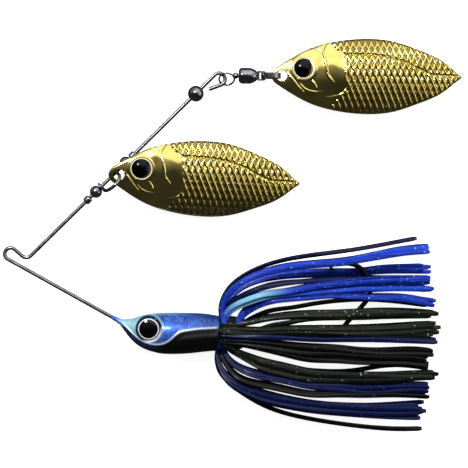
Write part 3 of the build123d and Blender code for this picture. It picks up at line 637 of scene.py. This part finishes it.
def paint_masks(x, y, top, above, inside, away):
    """Where each coat lies, from 0 to 1; top runs from -1 under the head to 1 along its back.

    The blue coat covers what is above the crease and a little under the nose, and gives way to the black in
    the sockets as painted shade; the pearl is sprayed on the nose, the back and the socket's upper rim.
    The line is the pale paint edge on the crease, whitened as a painted highlight that fades towards the
    rear, and a painted reflection on the lower right of each socket's rim."""
    back = x - NOSE[0]
    painted = smooth(-0.1, 0.12, above)
    under_nose = 0.45 * smooth(-2.2, -0.1, above) * smooth(11.5, 5.5, back)
    blue = np.maximum(painted, under_nose) * smooth(HEAD_LENGTH + 0.3, HEAD_LENGTH, back)
    rim = bell(away - SOCKET_R - 0.35, 0.3) * smooth(-0.3, 0.7, top)
    along_back = smooth(0.86, 0.99, top) * smooth(19.5, 12.5, back)
    pearl = smooth(7.0, 2.5, back) + 0.55 * rim + 0.7 * along_back
    pearl = np.clip(pearl * smooth(-1.1, 1.1, back), 0, 1) * painted
    # Pale paint edge along the crease, whitened as a painted highlight and fading towards the rear.
    line = bell(above - 0.16, 0.27) * inside * (1 - 0.35 * smooth(15.5, 22.5, back))
    socket = smooth(SOCKET_R + 0.25, SOCKET_R - 0.05, away)
    # Painted reflection: a bright crescent on the lower right of each socket's rim.
    glint_way = ((x - HEAD_EYE[0]) * 0.62 - (y - HEAD_EYE[1]) * 0.78) / np.maximum(away, 0.1)
    painted_rim_glint = bell(away - SOCKET_R + 0.05, 0.28) * smooth(0.35, 0.9, glint_way)
    return {
        # In the sockets the blue coat is taken away towards black: painted shade in the recess.
        "blue": blue * (1 - 0.9 * socket) * (1 - 0.45 * smooth(12.5, 23.5, back)),
        "pearl": pearl * smooth(SOCKET_R - 0.2, SOCKET_R + 0.25, away),
        "line": np.maximum(line * (1 - socket), 0.9 * painted_rim_glint),
    }


def head_shell(s):
    """The head as ovals along its length, with the crease, both sockets and the paint masks.

    Below the crease the casting stands back by a smooth step, and a bead runs along it.  In a
    socket the sides drop to a flat floor over a short wall."""
    x, centre, high, thick = (row[:, None] for row in head_rows(s))
    around = np.linspace(0, 2 * np.pi, s.around_stations, endpoint=False)[None, :]
    y, z = centre + high * np.cos(around), thick * np.sin(around)
    x = x + 0 * y
    above = y - curve(CREASE[:, 0], CREASE[:, 1], np.clip(x, CREASE[0, 0], CREASE[-1, 0]))
    inside = smooth(CREASE[0, 0], NOSE[0] + 2.0, x) * smooth(HEAD_REAR_X, HEAD_REAR_X - 1.0, x)
    stood_back = smooth(0.1, -0.35, above) * smooth(-2.4, -0.8, above)
    swell = (s.crease_bead * bell(above - 0.12, 0.32) - s.crease_step * stood_back) * inside
    y = y + swell * np.cos(around) * np.abs(np.cos(around))
    z = z + swell * np.sin(around)
    away = np.hypot(x - HEAD_EYE[0], y - HEAD_EYE[1])
    floor = HEAD_THICKNESS / 2 - SOCKET_DEPTH
    sunk = floor + (np.abs(z) - floor) * smooth(SOCKET_R - SOCKET_WALL, SOCKET_R + SOCKET_WALL, away)
    in_reach = (np.abs(z) > floor) & (x < HEAD_REAR_X)
    z = np.where(in_reach, np.sign(z) * np.minimum(np.abs(z), sunk), z)
    values = paint_masks(x, y, (y - centre) / high, above, inside, away)
    rows, columns = x.shape
    caps = [list(range(columns))[::-1], list(range((rows - 1) * columns, rows * columns))]
    return ORIGIN + np.stack([x, y, z], -1), list(grid_faces(rows, columns, closed=True)) + caps, values


# ---- skirt ----
# Locks of strands, from the collar to the tips.  Each has its colour group, how many strands
# lie side by side, its height over the hook in front (None keeps it level with the hook), the
# foil print's reach, whether it is doubled on the table side, and its middle line: x, y, and
# the lock's half width where it has more than one strand.
LOCKS = (
    ("navy", 1, None, 0, False, (
        (-2.6, -22.6), (-3.3, -19.9), (-3.3, -17.9), (-2.45, -15.4), (-0.9, -13.1), (1.0, -11.4),
        (3.9, -9.6), (7.5, -8.0), (16.3, -5.7), (30.4, -3.7), (46.3, -1.2))),
    ("blue", 4, 1.3, 0, True, (
        (-2.5, -22.0, 0.6), (-3.0, -18.9, 0.7), (-2.1, -15.9, 0.8), (-0.1, -13.5, 0.8), (2.9, -11.4, 0.85),
        (6.7, -9.8, 0.95), (12.5, -8.3, 1.1), (20.0, -7.5, 1.1), (26.6, -6.9, 1.0), (31.0, -6.2, 0.9),
        (36.1, -5.2, 1.0), (41.9, -4.2, 1.2), (49.0, -3.6, 1.6))),
    ("blue", 4, None, 0, True, (
        (-2.3, -22.0, 0.6), (-2.5, -18.9, 0.6), (-1.4, -16.6, 0.7), (0.8, -14.4, 0.7), (3.9, -12.5, 0.8),
        (9.4, -10.8, 1.1), (14.4, -10.2, 1.2), (20.0, -9.9, 1.3), (26.6, -9.7, 1.3), (31.0, -9.5, 1.3),
        (36.1, -8.9, 1.5), (42.0, -8.6, 1.5), (49.6, -8.6, 1.4))),
    ("navy", 2, -0.3, 0, True, (
        (-2.2, -21.8, 0.4), (-1.9, -18.7, 0.45), (0.5, -16.3, 0.5), (3.9, -14.5, 0.6), (7.8, -13.1, 0.8),
        (12.5, -12.2, 0.8), (17.5, -11.8, 0.7), (23.0, -11.3, 0.6), (36.0, -11.1, 0.6),
        (48.9, -11.6, 0.7))),
    ("blue", 3, 1.5, 0.33, True, (
        (-2.6, -22.6, 0.5), (-2.3, -20.2, 0.6), (-0.9, -18.5, 0.7), (2.9, -16.5, 0.75), (6.7, -15.2, 0.8),
        (10.6, -14.6, 0.9), (14.4, -14.1, 1.0), (20.0, -13.0, 1.1), (25.2, -12.4, 1.1), (30.4, -11.9, 1.1),
        (38.0, -11.5, 1.1), (44.0, -11.4, 1.1), (50.0, -11.3, 1.1))),
    ("blue", 3, 0.7, 0.28, True, (
        (-2.5, -22.8, 0.5), (-2.0, -20.8, 0.5), (-0.4, -19.0, 0.5), (3.2, -17.2, 0.6), (7.2, -15.9, 0.6),
        (11.2, -15.2, 0.7), (15.5, -14.9, 0.9), (20.0, -14.5, 1.0), (25.2, -14.1, 1.0), (30.4, -13.6, 1.0),
        (38.0, -13.4, 1.0), (44.0, -13.5, 1.0), (50.5, -13.9, 1.1))),
    ("blue", 4, 0.2, 0, True, (
        (1.0, -22.3, 0.8), (1.9, -20.4, 1.0), (3.6, -18.7, 1.2), (5.6, -17.5, 1.2), (8.4, -16.6, 1.0),
        (12.5, -16.0, 0.9), (17.9, -15.7, 0.8), (25.2, -15.3, 0.8), (30.4, -15.6, 0.9), (38.0, -15.8, 0.9),
        (43.8, -16.1, 1.0), (50.9, -17.3, 1.1))),
    ("black", 1, None, 0, True, (
        (2.4, -22.4), (5.8, -20.4), (8.6, -19.3), (14.4, -18.4), (20.0, -17.5), (25.2, -16.9),
        (31.4, -16.5), (38.0, -16.6), (44.0, -17.1), (50.1, -17.9))),
    ("olive", 3, 1.2, 0, True, (
        (-3.2, -22.7, 0.6), (1.0, -22.4, 0.7), (5.0, -21.6, 0.8), (8.6, -20.9, 0.8), (14.4, -20.3, 1.0),
        (20.0, -20.1, 1.2), (25.2, -20.0, 1.3), (30.4, -19.8, 1.4), (38.0, -19.6, 1.3), (44.0, -19.6, 0.9),
        (51.6, -19.9, 0.6))),
    ("olive", 1, 1.8, 0, False, (
        (-3.4, -26.8), (-1.5, -26.2), (0.8, -25.5), (6.2, -23.9), (9.5, -22.8), (12.5, -22.3),
        (18.2, -21.3), (25.2, -20.9), (38.0, -20.6), (50.6, -20.7))),
    ("olive", 5, 0.9, 0, True, (
        (-3.3, -23.9, 0.9), (0.0, -24.0, 1.0), (6.7, -24.1, 1.0), (12.5, -23.9, 1.1), (18.2, -23.85, 1.2),
        (25.2, -23.95, 1.3), (30.4, -24.0, 1.4), (38.0, -23.9, 1.6), (45.7, -23.6, 1.9),
        (51.6, -23.3, 2.0))),
    ("navy", 2, 1.4, 0, True, (
        (-3.5, -24.9, 0.5), (0.5, -25.2, 0.55), (3.9, -25.3, 0.6), (12.5, -25.6, 0.65), (18.2, -26.0, 0.7),
        (25.2, -26.2, 0.7), (38.0, -26.3, 0.7), (51.0, -26.5, 0.65))),
    ("black", 6, 0.8, 0, True, (
        (-3.2, -26.6, 0.8), (0.5, -26.9, 1.0), (3.9, -27.2, 1.3), (6.7, -27.6, 1.5), (12.5, -28.5, 1.9),
        (18.2, -29.3, 2.3), (25.2, -29.6, 2.4), (30.4, -30.1, 2.4), (38.0, -30.4, 2.3), (45.7, -30.5, 2.4),
        (49.8, -31.0, 2.5))),
    ("black", 1, 1.0, 0, False, (
        (-2.3, -27.2), (1.0, -29.6), (6.7, -32.0), (12.5, -33.3), (20.0, -34.2), (30.0, -34.2),
        (35.0, -33.3), (40.0, -32.7), (48.9, -33.4))),
    ("olive", 4, 0.9, 0, True, (
        (-2.5, -26.6, 0.6), (-1.6, -28.0, 0.8), (1.0, -29.7, 1.0), (3.9, -31.0, 1.2), (6.7, -32.2, 1.5),
        (12.5, -33.7, 1.7), (18.2, -34.9, 1.7), (25.2, -35.4, 1.6), (30.4, -35.6, 1.5), (38.0, -35.6, 1.3),
        (45.7, -35.2, 1.0), (51.0, -35.1, 0.9))),
    ("navy", 4, 0.3, 0, True, (
        (-2.9, -26.8, 0.5), (-2.4, -29.2, 0.6), (-0.6, -31.9, 0.8), (2.9, -34.0, 1.0), (6.7, -35.1, 1.1),
        (12.5, -36.2, 1.1), (18.2, -37.4, 1.1), (25.2, -37.8, 1.3), (30.4, -38.3, 1.5), (38.0, -38.2, 1.5),
        (44.0, -37.9, 1.3), (48.9, -38.1, 1.5))),
    ("black", 2, 1.0, 0, True, (
        (-2.8, -26.2, 0.4), (-3.5, -28.2, 0.4), (-3.2, -30.0, 0.45), (-2.2, -32.0, 0.5),
        (-0.4, -34.4, 0.55), (2.0, -36.1, 0.6), (6.7, -37.4, 0.6), (12.5, -38.6, 0.6), (18.2, -39.7, 0.7),
        (25.2, -39.9, 0.7), (32.0, -40.1, 0.6), (40.0, -39.9, 0.6), (48.8, -40.1, 0.5))),
    ("navy", 5, 0.3, 0, True, (
        (-3.0, -26.8, 0.5), (-4.0, -28.6, 0.5), (-4.0, -31.0, 0.6), (-3.3, -33.5, 0.8), (-1.6, -35.9, 1.1),
        (1.2, -37.9, 1.4), (4.8, -39.6, 1.6), (9.0, -41.0, 1.7), (12.9, -41.9, 1.7), (20.0, -43.0, 1.7),
        (27.8, -43.6, 1.7), (38.0, -43.9, 2.0), (47.8, -43.9, 2.5))),
    ("black", 1, None, 0, False, (
        (-3.0, -26.6), (-4.1, -29.2), (-4.3, -31.5), (-3.4, -34.6), (-0.9, -37.3), (1.5, -39.2),
        (3.8, -40.7), (7.8, -42.9), (12.9, -44.8), (19.5, -46.4), (27.8, -47.7), (40.0, -48.5),
        (48.9, -48.3))),
)
HOOK_CLEAR = 2.1                      # free height for the hook over and under the lure plane
LOWEST_Z = 0.68 - HEAD_THICKNESS / 2  # a strand's middle over the table, read from the lure plane
FAN_HALF = 24.0                       # half height of the fan of strands
COLLAR_OUT = 0.45                     # where strands leave the collar, past its radius
FREE_AT = 0.22                        # share of a strand over which it leaves the collar
LONE_START = 0.3                      # height where a lone strand starts, as a share of the circle
TABLE_TIGHT = 0.8                     # the table side's locks are this much narrower
TABLE_SIDE = 2                        # added to the shares of strands on the table side
RIBBON_SIDES, RIBBON_POWER, RIBBON_END = 10, 0.7, 0.7
COLLAR_STATIONS, COLLAR_RUN = 12, 5.2  # of the strand ends round the band


def tufts(group, count):
    """Names of the CAD tufts of a colour group."""
    return ["skirt_%s_%d" % (group, number) for number in range(1, count + 1)]


# A group's material, the settings of its two colours, its glitter, slot and the CAD tufts it
# replaces.
STRANDS = {
    "blue": ("blue_flake_silicone", "blue", "deep_blue", "#7CB8F4", 0.018, "skirt_blue", tufts("blue", 5)),
    "navy": ("navy_silicone", "navy", "black", "#4666C8", 0.009, "skirt_blue", []),
    "olive": ("smoke_olive_silicone", "olive", "deep_olive", "#98A890", 0.013, "skirt_olive",
              tufts("olive", 2)),
    "black": ("black_silicone", "soft_black", "black", "#50545C", 0.006, "skirt_black", tufts("black", 5)),
}


def strand_height(lift, side, number, share, off_middle, draw):
    """Height of a strand past the collar: over the hook in front, under it on the table side.

    It arches by a sine along its length and an ellipse across the fan, and neighbours in a lock
    lie at two levels."""
    level = number % 2
    if side == 0 or lift is None:
        under = -HOOK_CLEAR * 0.55 - 0.5 * level
        return np.full_like(share, under if side < 0 else draw.uniform(-0.3, 0.3))
    arch = np.sqrt(1 - np.clip(off_middle / FAN_HALF, 0, 1) ** 2) * np.sin(np.pi * (0.25 + share * 0.6))
    if side > 0:
        return HOOK_CLEAR * 0.75 + lift + 2.2 * arch + 0.5 * level + draw.uniform(-0.15, 0.15)
    return -(HOOK_CLEAR * 0.8 + 0.3 * lift + 0.45 * level + 0.8 * arch)


def lock_paths(count, lift, doubled, stations, s, draw):
    """Middle lines of a lock's strands, in the lure's frame: strand, station, xyz.

    Across the lock the strands share its width evenly.  In height they leave the collar on its
    circle and come down towards the tips; the table side mirrors them, each share plus
    TABLE_SIDE."""
    stations = np.array(stations)
    steps = np.linalg.norm(np.diff(stations[:, :2], axis=0), axis=1)
    steps = np.concatenate([[0], np.cumsum(steps)])
    share = np.linspace(0, 1, s.stations)
    line = curve(steps, stations, share * steps[-1])
    heading = np.gradient(line[:, :2], axis=0)
    heading /= np.linalg.norm(heading, axis=1, keepdims=True)
    normal = np.stack([-heading[:, 1], heading[:, 0]], -1)
    half = np.maximum(line[:, 2] - s.strand_width / 2, 0.05) if count > 1 else 0.0
    places = np.linspace(1, -1, count) if count > 1 else np.zeros(1)
    if not doubled:
        sides = (0,)
    else:
        sides = (-1,) if lift is None else (1, -1)
    paths, shares = [], []
    for side in sides:
        for number, place in enumerate(places * (1.0 if side > 0 else TABLE_TIGHT)):
            wander = s.wander * np.sin(2 * np.pi * (share * draw.uniform(0.8, 1.7) + draw.random())) * share
            flat = line[:, :2] + normal * (place * half + wander)[:, None]
            dy = flat[:, 1] - SHANK_Y
            root = np.sqrt(np.maximum((COLLAR_R + COLLAR_OUT) ** 2 - dy**2, 0.3))
            free = strand_height(lift, side, number, share, np.abs(dy), draw)
            ease = smooth(0.0, FREE_AT, share)
            z = (side or LONE_START) * root * (1 - ease) + free * ease
            path = np.stack([flat[:, 0], flat[:, 1], np.maximum(z, LOWEST_Z)], -1)
            trim = draw.uniform(0, s.tip_uneven) / steps[-1]
            paths.append(curve(share, path, share * (1 - trim)))
            shares.append(share if side >= 0 else share + TABLE_SIDE)
    return np.array(paths), np.array(shares)


def foil_print(shares, reach):
    """Where the foil print shows: from just past the collar, fading at its reach, in front."""
    if not reach:
        return 0 * shares
    in_front = shares < TABLE_SIDE - 0.5
    return smooth(reach * 1.2, reach * 0.5, shares) * smooth(0.02, 0.15, shares) * in_front


def strand_shell(paths, width, thickness, twist):
    """Flat rounded ribbons along paths, all strands at once.

    Each station carries a superellipse, |cos| and |sin| to RIBBON_POWER, its long side level and
    its short side square to the path, turned by the strand's twist; the ends close with a face."""
    strands, rings, _ = paths.shape
    heading = np.gradient(paths, axis=1)
    heading /= np.linalg.norm(heading, axis=2, keepdims=True)
    side = np.stack([-heading[..., 1], heading[..., 0], 0 * heading[..., 0]], -1)
    side /= np.linalg.norm(side, axis=2, keepdims=True)
    up = np.cross(heading, side)
    turn = twist[..., None]
    side, up = side * np.cos(turn) + up * np.sin(turn), up * np.cos(turn) - side * np.sin(turn)
    angle = np.linspace(0, 2 * np.pi, RIBBON_SIDES, endpoint=False)
    wide, high = (
        np.sign(wave) * np.abs(wave) ** RIBBON_POWER * size / 2
        for wave, size in ((np.cos(angle), width), (np.sin(angle), thickness))
    )
    taper = np.ones(rings)
    taper[[0, -1]] = RIBBON_END
    section = side[:, :, None] * wide[:, None] + up[:, :, None] * high[:, None]
    points = paths[:, :, None] + section * taper[None, :, None, None]
    start = np.arange(strands)[:, None, None] * rings * RIBBON_SIDES
    faces = (grid_faces(rings, RIBBON_SIDES, closed=True)[None] + start).reshape(-1, 4).tolist()
    ring = np.arange(RIBBON_SIDES)
    firsts = (start[:, 0] + ring[::-1]).tolist()
    lasts = (start[:, 0] + (rings - 1) * RIBBON_SIDES + ring).tolist()
    return points, faces + firsts + lasts


def collar_paths(s, draw):
    """Strand ends laid round the band, along the shank, at even angles with a little play."""
    count = s.collar_strands
    angle = np.linspace(0, 2 * np.pi, count, endpoint=False) + draw.uniform(-0.05, 0.05, count)
    along = np.linspace(0, 1, COLLAR_STATIONS)[None]
    x = HEAD_REAR_X + 0.15 + along * (COLLAR_RUN + draw.uniform(-0.4, 0.6, count)[:, None])
    radius = COLLAR_R - 0.55 + 0.35 * np.sin(np.pi * along) + draw.uniform(0, 0.15, count)[:, None]
    y, z = SHANK_Y + radius * np.cos(angle)[:, None], radius * np.sin(angle)[:, None]
    return np.stack([x, y, z], -1), angle


# ---- settings ----
def length(label, default):
    """A length property in metres, its default given in millimetres."""
    return FloatProperty(name=label, default=default * MM, min=0.0, unit="LENGTH", precision=5)


def colour(label, code):
    """A colour property, its default given as an sRGB hex code."""
    return FloatVectorProperty(name=label, default=linear(code), size=4, subtype="COLOR", min=0.0, max=1.0)


def amount(label, default):
    """A plain number property."""
    return FloatProperty(name=label, default=default)


def whole(label, default):
    """A whole number property."""
    return IntProperty(name=label, default=default)


def in_millimetres(settings):
    """A group's values by name, with its lengths in millimetres."""
    values = {}
    for key, kind in settings.bl_rna.properties.items():
        if key in ("rna_type", "name"):
            continue
        value = getattr(settings, key)
        values[key] = value / MM if kind.unit == "LENGTH" else value
    return SimpleNamespace(**values)


class LureStageSettings(bpy.types.PropertyGroup):
    view_width: length("Width of the view at the lure plane", 117.0)
    lens: amount("Focal length in millimetres on a 36 mm sensor", 135.0)
    floor_size: length("Side of the pale floor", 8000.0)
    floor_glow: amount("Light that the floor gives, as a light table", 0.9)
    box_power: amount("Watts of the large softbox", 4.0)
    side_power: amount("Watts of the low box past the tail", 1.6)
    spark_power: amount("Watts of the small bright light", 2.2)
    floor_colour: colour("Colour of the floor", "#F2F2F0")
    table_colour: colour("Tone under the floor, which the metal mirrors", "#7A7468")


class LureMetalSettings(bpy.types.PropertyGroup):
    wire: colour("Darker tone of the drawn wire", "#5C5B5E")
    nickel: colour("Darker tone of the plated hardware", "#66666C")
    hook: colour("Darker tone of the hook steel", "#141518")
    steel: colour("Tone of the ground steel", "#C8C8CC")
    rubber: colour("Darker tone of the rubber band", "#121212")


class LureBladeSettings(bpy.types.PropertyGroup):
    scale_pitch: length("Distance between scales along a blade", 1.55)
    scale_row: length("Distance between rows of scales", 1.65)
    scale_height: length("Height of the ridges between scales", 0.29)
    ridge_width: length("Half width of a ridge", 0.42)
    along_stations: whole("Grid points from the hole to the tip", 350)
    hole_stations: whole("Grid points round half the hole", 36)
    across_stations: whole("Grid points across half the blade", 55)
    bright: colour("Gold plate on the ridges", "#E4D379")
    # The deep gold is also painted shade in the bottoms of the scales.
    deep: colour("Gold plate in the hollows", "#8A7030")
    eye: colour("Enamel ring round the eye", "#E8E0B8")


class LureHeadSettings(bpy.types.PropertyGroup):
    crease_step: length("How far the black side stands back", 0.28)
    crease_bead: length("Height of the bead along the crease", 0.16)
    along_stations: whole("Sections along the casting", 210)
    around_stations: whole("Points round a section", 240)
    pupil_r: length("Radius of the black pupil", 2.34)
    blue: colour("Flake enamel on the back", "#3A70D8")
    pearl: colour("Pearl coat at the nose", "#A4DCE6")
    black: colour("Enamel under the crease", "#060709")
    ring: colour("Foil round the pupil", "#D8DADC")


class LureSkirtSettings(bpy.types.PropertyGroup):
    strand_width: length("Width of one silicone strand", 1.25)
    strand_thickness: length("Thickness of one silicone strand", 0.65)
    wander: length("How far a strand strays from its lock at the tips", 0.25)
    tip_uneven: length("How much shorter a strand may be", 2.6)
    stations: whole("Sections along a strand", 64)
    collar_strands: whole("Strand ends round the band", 30)
    seed: whole("Start of the random draws", 7)
    blue: colour("Lighter blue strands", "#2A52DC")
    deep_blue: colour("Darker blue strands", "#101C78")
    navy: colour("Lighter navy strands", "#101B4C")
    soft_black: colour("Lighter black strands", "#0E0E10")
    black: colour("Darker black and navy strands", "#060608")
    olive: colour("Lighter olive strands", "#242A20")
    deep_olive: colour("Darker olive strands", "#0E110E")
    pearl: colour("Cyan foil print near the collar", "#8CD2EC")


# ---- operators ----
SENSOR = 36.0                         # width of the camera's sensor, in millimetres
TABLE_DROP = 2.0                      # the toned table lies this far under the floor
SKY = (-0.05, 0.5, 0.05, 0.6)         # a direction's Y from and to, and its light there
LIGHTS = (                            # name, direction, distance and size in metres, setting
    ("softbox", (0.30, 0.72, 0.68), 0.9, 1.0, "box_power"),
    ("side_box", (0.9, 0.0, 0.42), 0.9, 0.6, "side_power"),
    ("small_light", (-0.26, 0.44, 0.86), 0.6, 0.10, "spark_power"),
)


class LURE_OT_stage(bpy.types.Operator):
    """Camera over the lure, pale glowing floor, a large and a low softbox, and a small light"""
    bl_idname = "lure.stage"
    bl_label = "Stage"

    def light(self, name, toward, distance, size, power):
        """Square area light that looks at the lure from a direction."""
        data = bpy.data.lights.new(name, "AREA")
        data.shape, data.size, data.energy = "SQUARE", size, power
        lamp = bpy.data.objects.new(name, data)
        direction = Vector(toward).normalized()
        lamp.location = Vector(ORIGIN * MM) + direction * distance
        lamp.rotation_euler = direction.to_track_quat("Z", "Y").to_euler()
        bpy.context.scene.collection.objects.link(lamp)

    def sheet(self, name, size, height):
        """Level square sheet of the stage, with its own material."""
        mesh = bpy.data.meshes.new(name)
        corners = [(x * size / 2, y * size / 2, height) for x, y in ((-1, -1), (1, -1), (1, 1), (-1, 1))]
        mesh.from_pydata(corners, [], [(0, 1, 2, 3)])
        piece = bpy.data.objects.new(name, mesh)
        bpy.context.scene.collection.objects.link(piece)
        material, tree, shader = new_material("matt_" + name)
        mesh.materials.append(material)
        return piece, tree, shader

    def execute(self, context):
        scene = context.scene
        s = scene.lure_stage
        scene.view_settings.view_transform = "Standard"
        data = bpy.data.cameras.new("camera")
        data.lens, data.sensor_width, data.clip_start = s.lens, SENSOR, 0.01
        camera = bpy.data.objects.new("camera", data)
        camera.location = Vector(ORIGIN * MM) + Vector((0, 0, s.view_width * s.lens / SENSOR))
        scene.collection.objects.link(camera)
        scene.camera = camera

        floor, tree, shader = self.sheet("floor", s.floor_size, 0.0)
        settle(tree, shader, Base_Color=s.floor_colour, Roughness=0.9, Emission_Color=(1, 1, 1, 1),
               Emission_Strength=s.floor_glow)
        floor.visible_diffuse = floor.visible_glossy = False
        _, tree, shader = self.sheet("table", s.floor_size, -TABLE_DROP * MM)
        settle(tree, shader, Base_Color=s.table_colour, Roughness=0.9)

        for name, toward, distance, size, setting in LIGHTS:
            self.light(name, toward, distance, size, getattr(s, setting))
        world = bpy.data.worlds.new("studio")
        scene.world = world
        world.use_nodes = True
        tree = world.node_tree
        tree.nodes.clear()
        place = add_node(tree, "TexCoord")
        up = add_node(tree, "SeparateXYZ", {0: place.outputs["Generated"]}).outputs["Y"]
        sky = add_node(tree, "Background", {"Strength": ranged(tree, up, *SKY)})
        add_node(tree, "OutputWorld", {"Surface": sky.outputs[0]})
        return {"FINISHED"}


class LURE_OT_metal(bpy.types.Operator):
    """Finish of the wire, the hook, the beads, the clevis, the swivel, the rings and the band"""
    bl_idname = "lure.metal"
    bl_label = "Wire and hardware"

    def execute(self, context):
        s = context.scene.lure_metal
        finishes = (
            (drawn_spring_wire(s.wire), ("wire_frame",)),
            (forged_hook(s.hook), ("hook",)),
            (black_nickel(s.nickel), (
                "lower_stop", "upper_stop", "lower_bead", "upper_bead", "loop_bead", "clevis",
                "swivel_ring", "swivel_barrel", "swivel_tail", "split_ring")),
            (ground_steel(s.steel), ("swivel_balls",)),
            (band_rubber(s.rubber), ("skirt_band",)),
        )
        for material, names in finishes:
            for name in names:
                paint_node(name, material)
        return {"FINISHED"}


class LURE_OT_blades(bpy.types.Operator):
    """Both stamped gold blades with their scales, cheek lines and ringed eyes"""
    bl_idname = "lure.blades"
    bl_label = "Blades"

    def execute(self, context):
        settings = context.scene.lure_blades
        s = in_millimetres(settings)
        gold = gold_plate(settings.bright, settings.deep)
        cream = enamel("cream_enamel", settings.eye)
        black = enamel_black()
        front_hole = np.array(JOINTS["front_blade_swing"]["pos_m"]) / MM
        rear_hole = np.array(JOINTS["rear_blade_swing"]["pos_m"]) / MM + (HOLE_SLACK, 0, 0)
        for name, hole, turn, roll in (
            ("front_blade", front_hole, FRONT_TURN, FRONT_ROLL), ("rear_blade", rear_hole, 0.0, 0.0)
        ):
            place = blade_place(hole, turn, roll)
            points, faces, hollow = blade_shell(place, s)
            # The scale hollows go with the blade as the mask of its painted shade.
            piece = add_piece(
                name + "_stamped", points, faces, {"recess": hollow}, name, "gold_plate", gold, merge=0.001)
            wall = piece.modifiers.new("plate", "SOLIDIFY")
            wall.thickness, wall.offset = BLADE_T * MM, 0.0
            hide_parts(name)
            points, faces = ring_shell(BLADE_EYE, BLADE_EYE_R + EYE_RING_GAP, EYE_RING_WIRE, place)
            add_piece(name + "_eye_ring", points, faces, body=name, slot="eye_print", material=cream)
            paint_node(name + "_eye", black)
        return {"FINISHED"}


class LURE_OT_head(bpy.types.Operator):
    """The painted head with its crease and sockets, and its printed eyes"""
    bl_idname = "lure.head"
    bl_label = "Head and eyes"

    def execute(self, context):
        settings = context.scene.lure_head
        s = in_millimetres(settings)
        paint = jig_head_paint(settings.blue, settings.pearl, settings.black)
        points, faces, values = head_shell(s)
        head = add_piece("head_painted", points, faces, values, "lure", "head_paint", paint)
        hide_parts("head_casting")
        centre = ORIGIN + (*HEAD_EYE, 0)
        foil = eye_print("epoxy_domed_eye_print", centre, s.pupil_r, settings.ring)
        for side in ("near", "far"):
            paint_node("head_eye_" + side, foil)
            paint_node("head_lens_" + side, foil)
        return {"FINISHED"}


class LURE_OT_skirt(bpy.types.Operator):
    """Silicone strands of the skirt, lock by lock, and the strand ends round its collar"""
    bl_idname = "lure.skirt"
    bl_label = "Skirt"

    def strands(self, name, paths, twist, tint, pearl, finish, s):
        """One piece of many strands, with its tint and foil print at every point."""
        points, faces = strand_shell(ORIGIN + paths, s.strand_width, s.strand_thickness, twist)
        everywhere = np.zeros(points.shape[:3])
        values = {"tint": tint[..., None] + everywhere, "pearl": pearl[..., None] + everywhere}
        return add_piece(name, points, faces, values, "lure", *finish)

    def execute(self, context):
        settings = context.scene.lure_skirt
        s = in_millimetres(settings)
        draw = np.random.default_rng(settings.seed)
        gathered = {group: [] for group in STRANDS}
        for group, count, lift, reach, doubled, stations in LOCKS:
            paths, shares = lock_paths(count, lift, doubled, stations, s, draw)
            tint = draw.uniform(0.15, 1.0, len(paths))[:, None] + 0 * shares
            gathered[group].append((paths, tint, foil_print(shares, reach)))
        finishes = {}
        for group, (name, light, dark, spark, flake_share, slot, replaced) in STRANDS.items():
            light, dark = getattr(settings, light), getattr(settings, dark)
            finishes[group] = slot, skirt_silicone(name, light, dark, settings.pearl, spark, flake_share)
            paths, tint, pearl = (np.concatenate(part) for part in zip(*gathered[group]))
            phase = draw.uniform(0, 6.28, len(paths))[:, None]
            twist = 0.5 * np.sin(np.linspace(0, 5, s.stations)[None] + phase)
            piece = self.strands("skirt_strands_" + group, paths, twist, tint, pearl, finishes[group], s)
            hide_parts(*replaced)
        paths, angle = collar_paths(s, draw)
        twist = angle[:, None] + np.pi / 2 + np.zeros((1, paths.shape[1]))
        tint = draw.uniform(0, 1, (len(paths), 1))
        collar = self.strands("skirt_collar_strands", paths, twist, tint, 0 * tint, finishes["olive"], s)
        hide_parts("skirt_collar")
        return {"FINISHED"}


class LURE_PT_sidebar(bpy.types.Panel):
    """Lists the lure's pieces in the 3D view's sidebar"""
    bl_idname = "LURE_PT_sidebar"
    bl_label = "Spinnerbait"
    bl_space_type = "VIEW_3D"
    bl_region_type = "UI"
    bl_category = "Spinnerbait"

    def draw(self, context):
        for operator, group, *_ in PIECES:
            box = self.layout.box()
            box.operator(operator)
            settings = getattr(context.scene, group)
            for key in settings.__annotations__:
                box.prop(settings, key)


PIECES = (
    ("lure.stage", "lure_stage", LureStageSettings, LURE_OT_stage),
    ("lure.metal", "lure_metal", LureMetalSettings, LURE_OT_metal),
    ("lure.blades", "lure_blades", LureBladeSettings, LURE_OT_blades),
    ("lure.head", "lure_head", LureHeadSettings, LURE_OT_head),
    ("lure.skirt", "lure_skirt", LureSkirtSettings, LURE_OT_skirt),
)
CLASSES = [cls for row in PIECES for cls in row[2:]] + [LURE_PT_sidebar]


def register():
    for cls in CLASSES:
        bpy.utils.register_class(cls)
    for _, name, group, _ in PIECES:
        setattr(bpy.types.Scene, name, PointerProperty(type=group))


def unregister():
    for _, name, *_ in PIECES:
        delattr(bpy.types.Scene, name)
    for cls in reversed(CLASSES):
        bpy.utils.unregister_class(cls)


def main():
    register()
    bpy.ops.lure.stage()
    bpy.ops.lure.metal()
    bpy.ops.lure.blades()
    bpy.ops.lure.head()
    bpy.ops.lure.skirt()


if __name__ == "__main__":
    main()
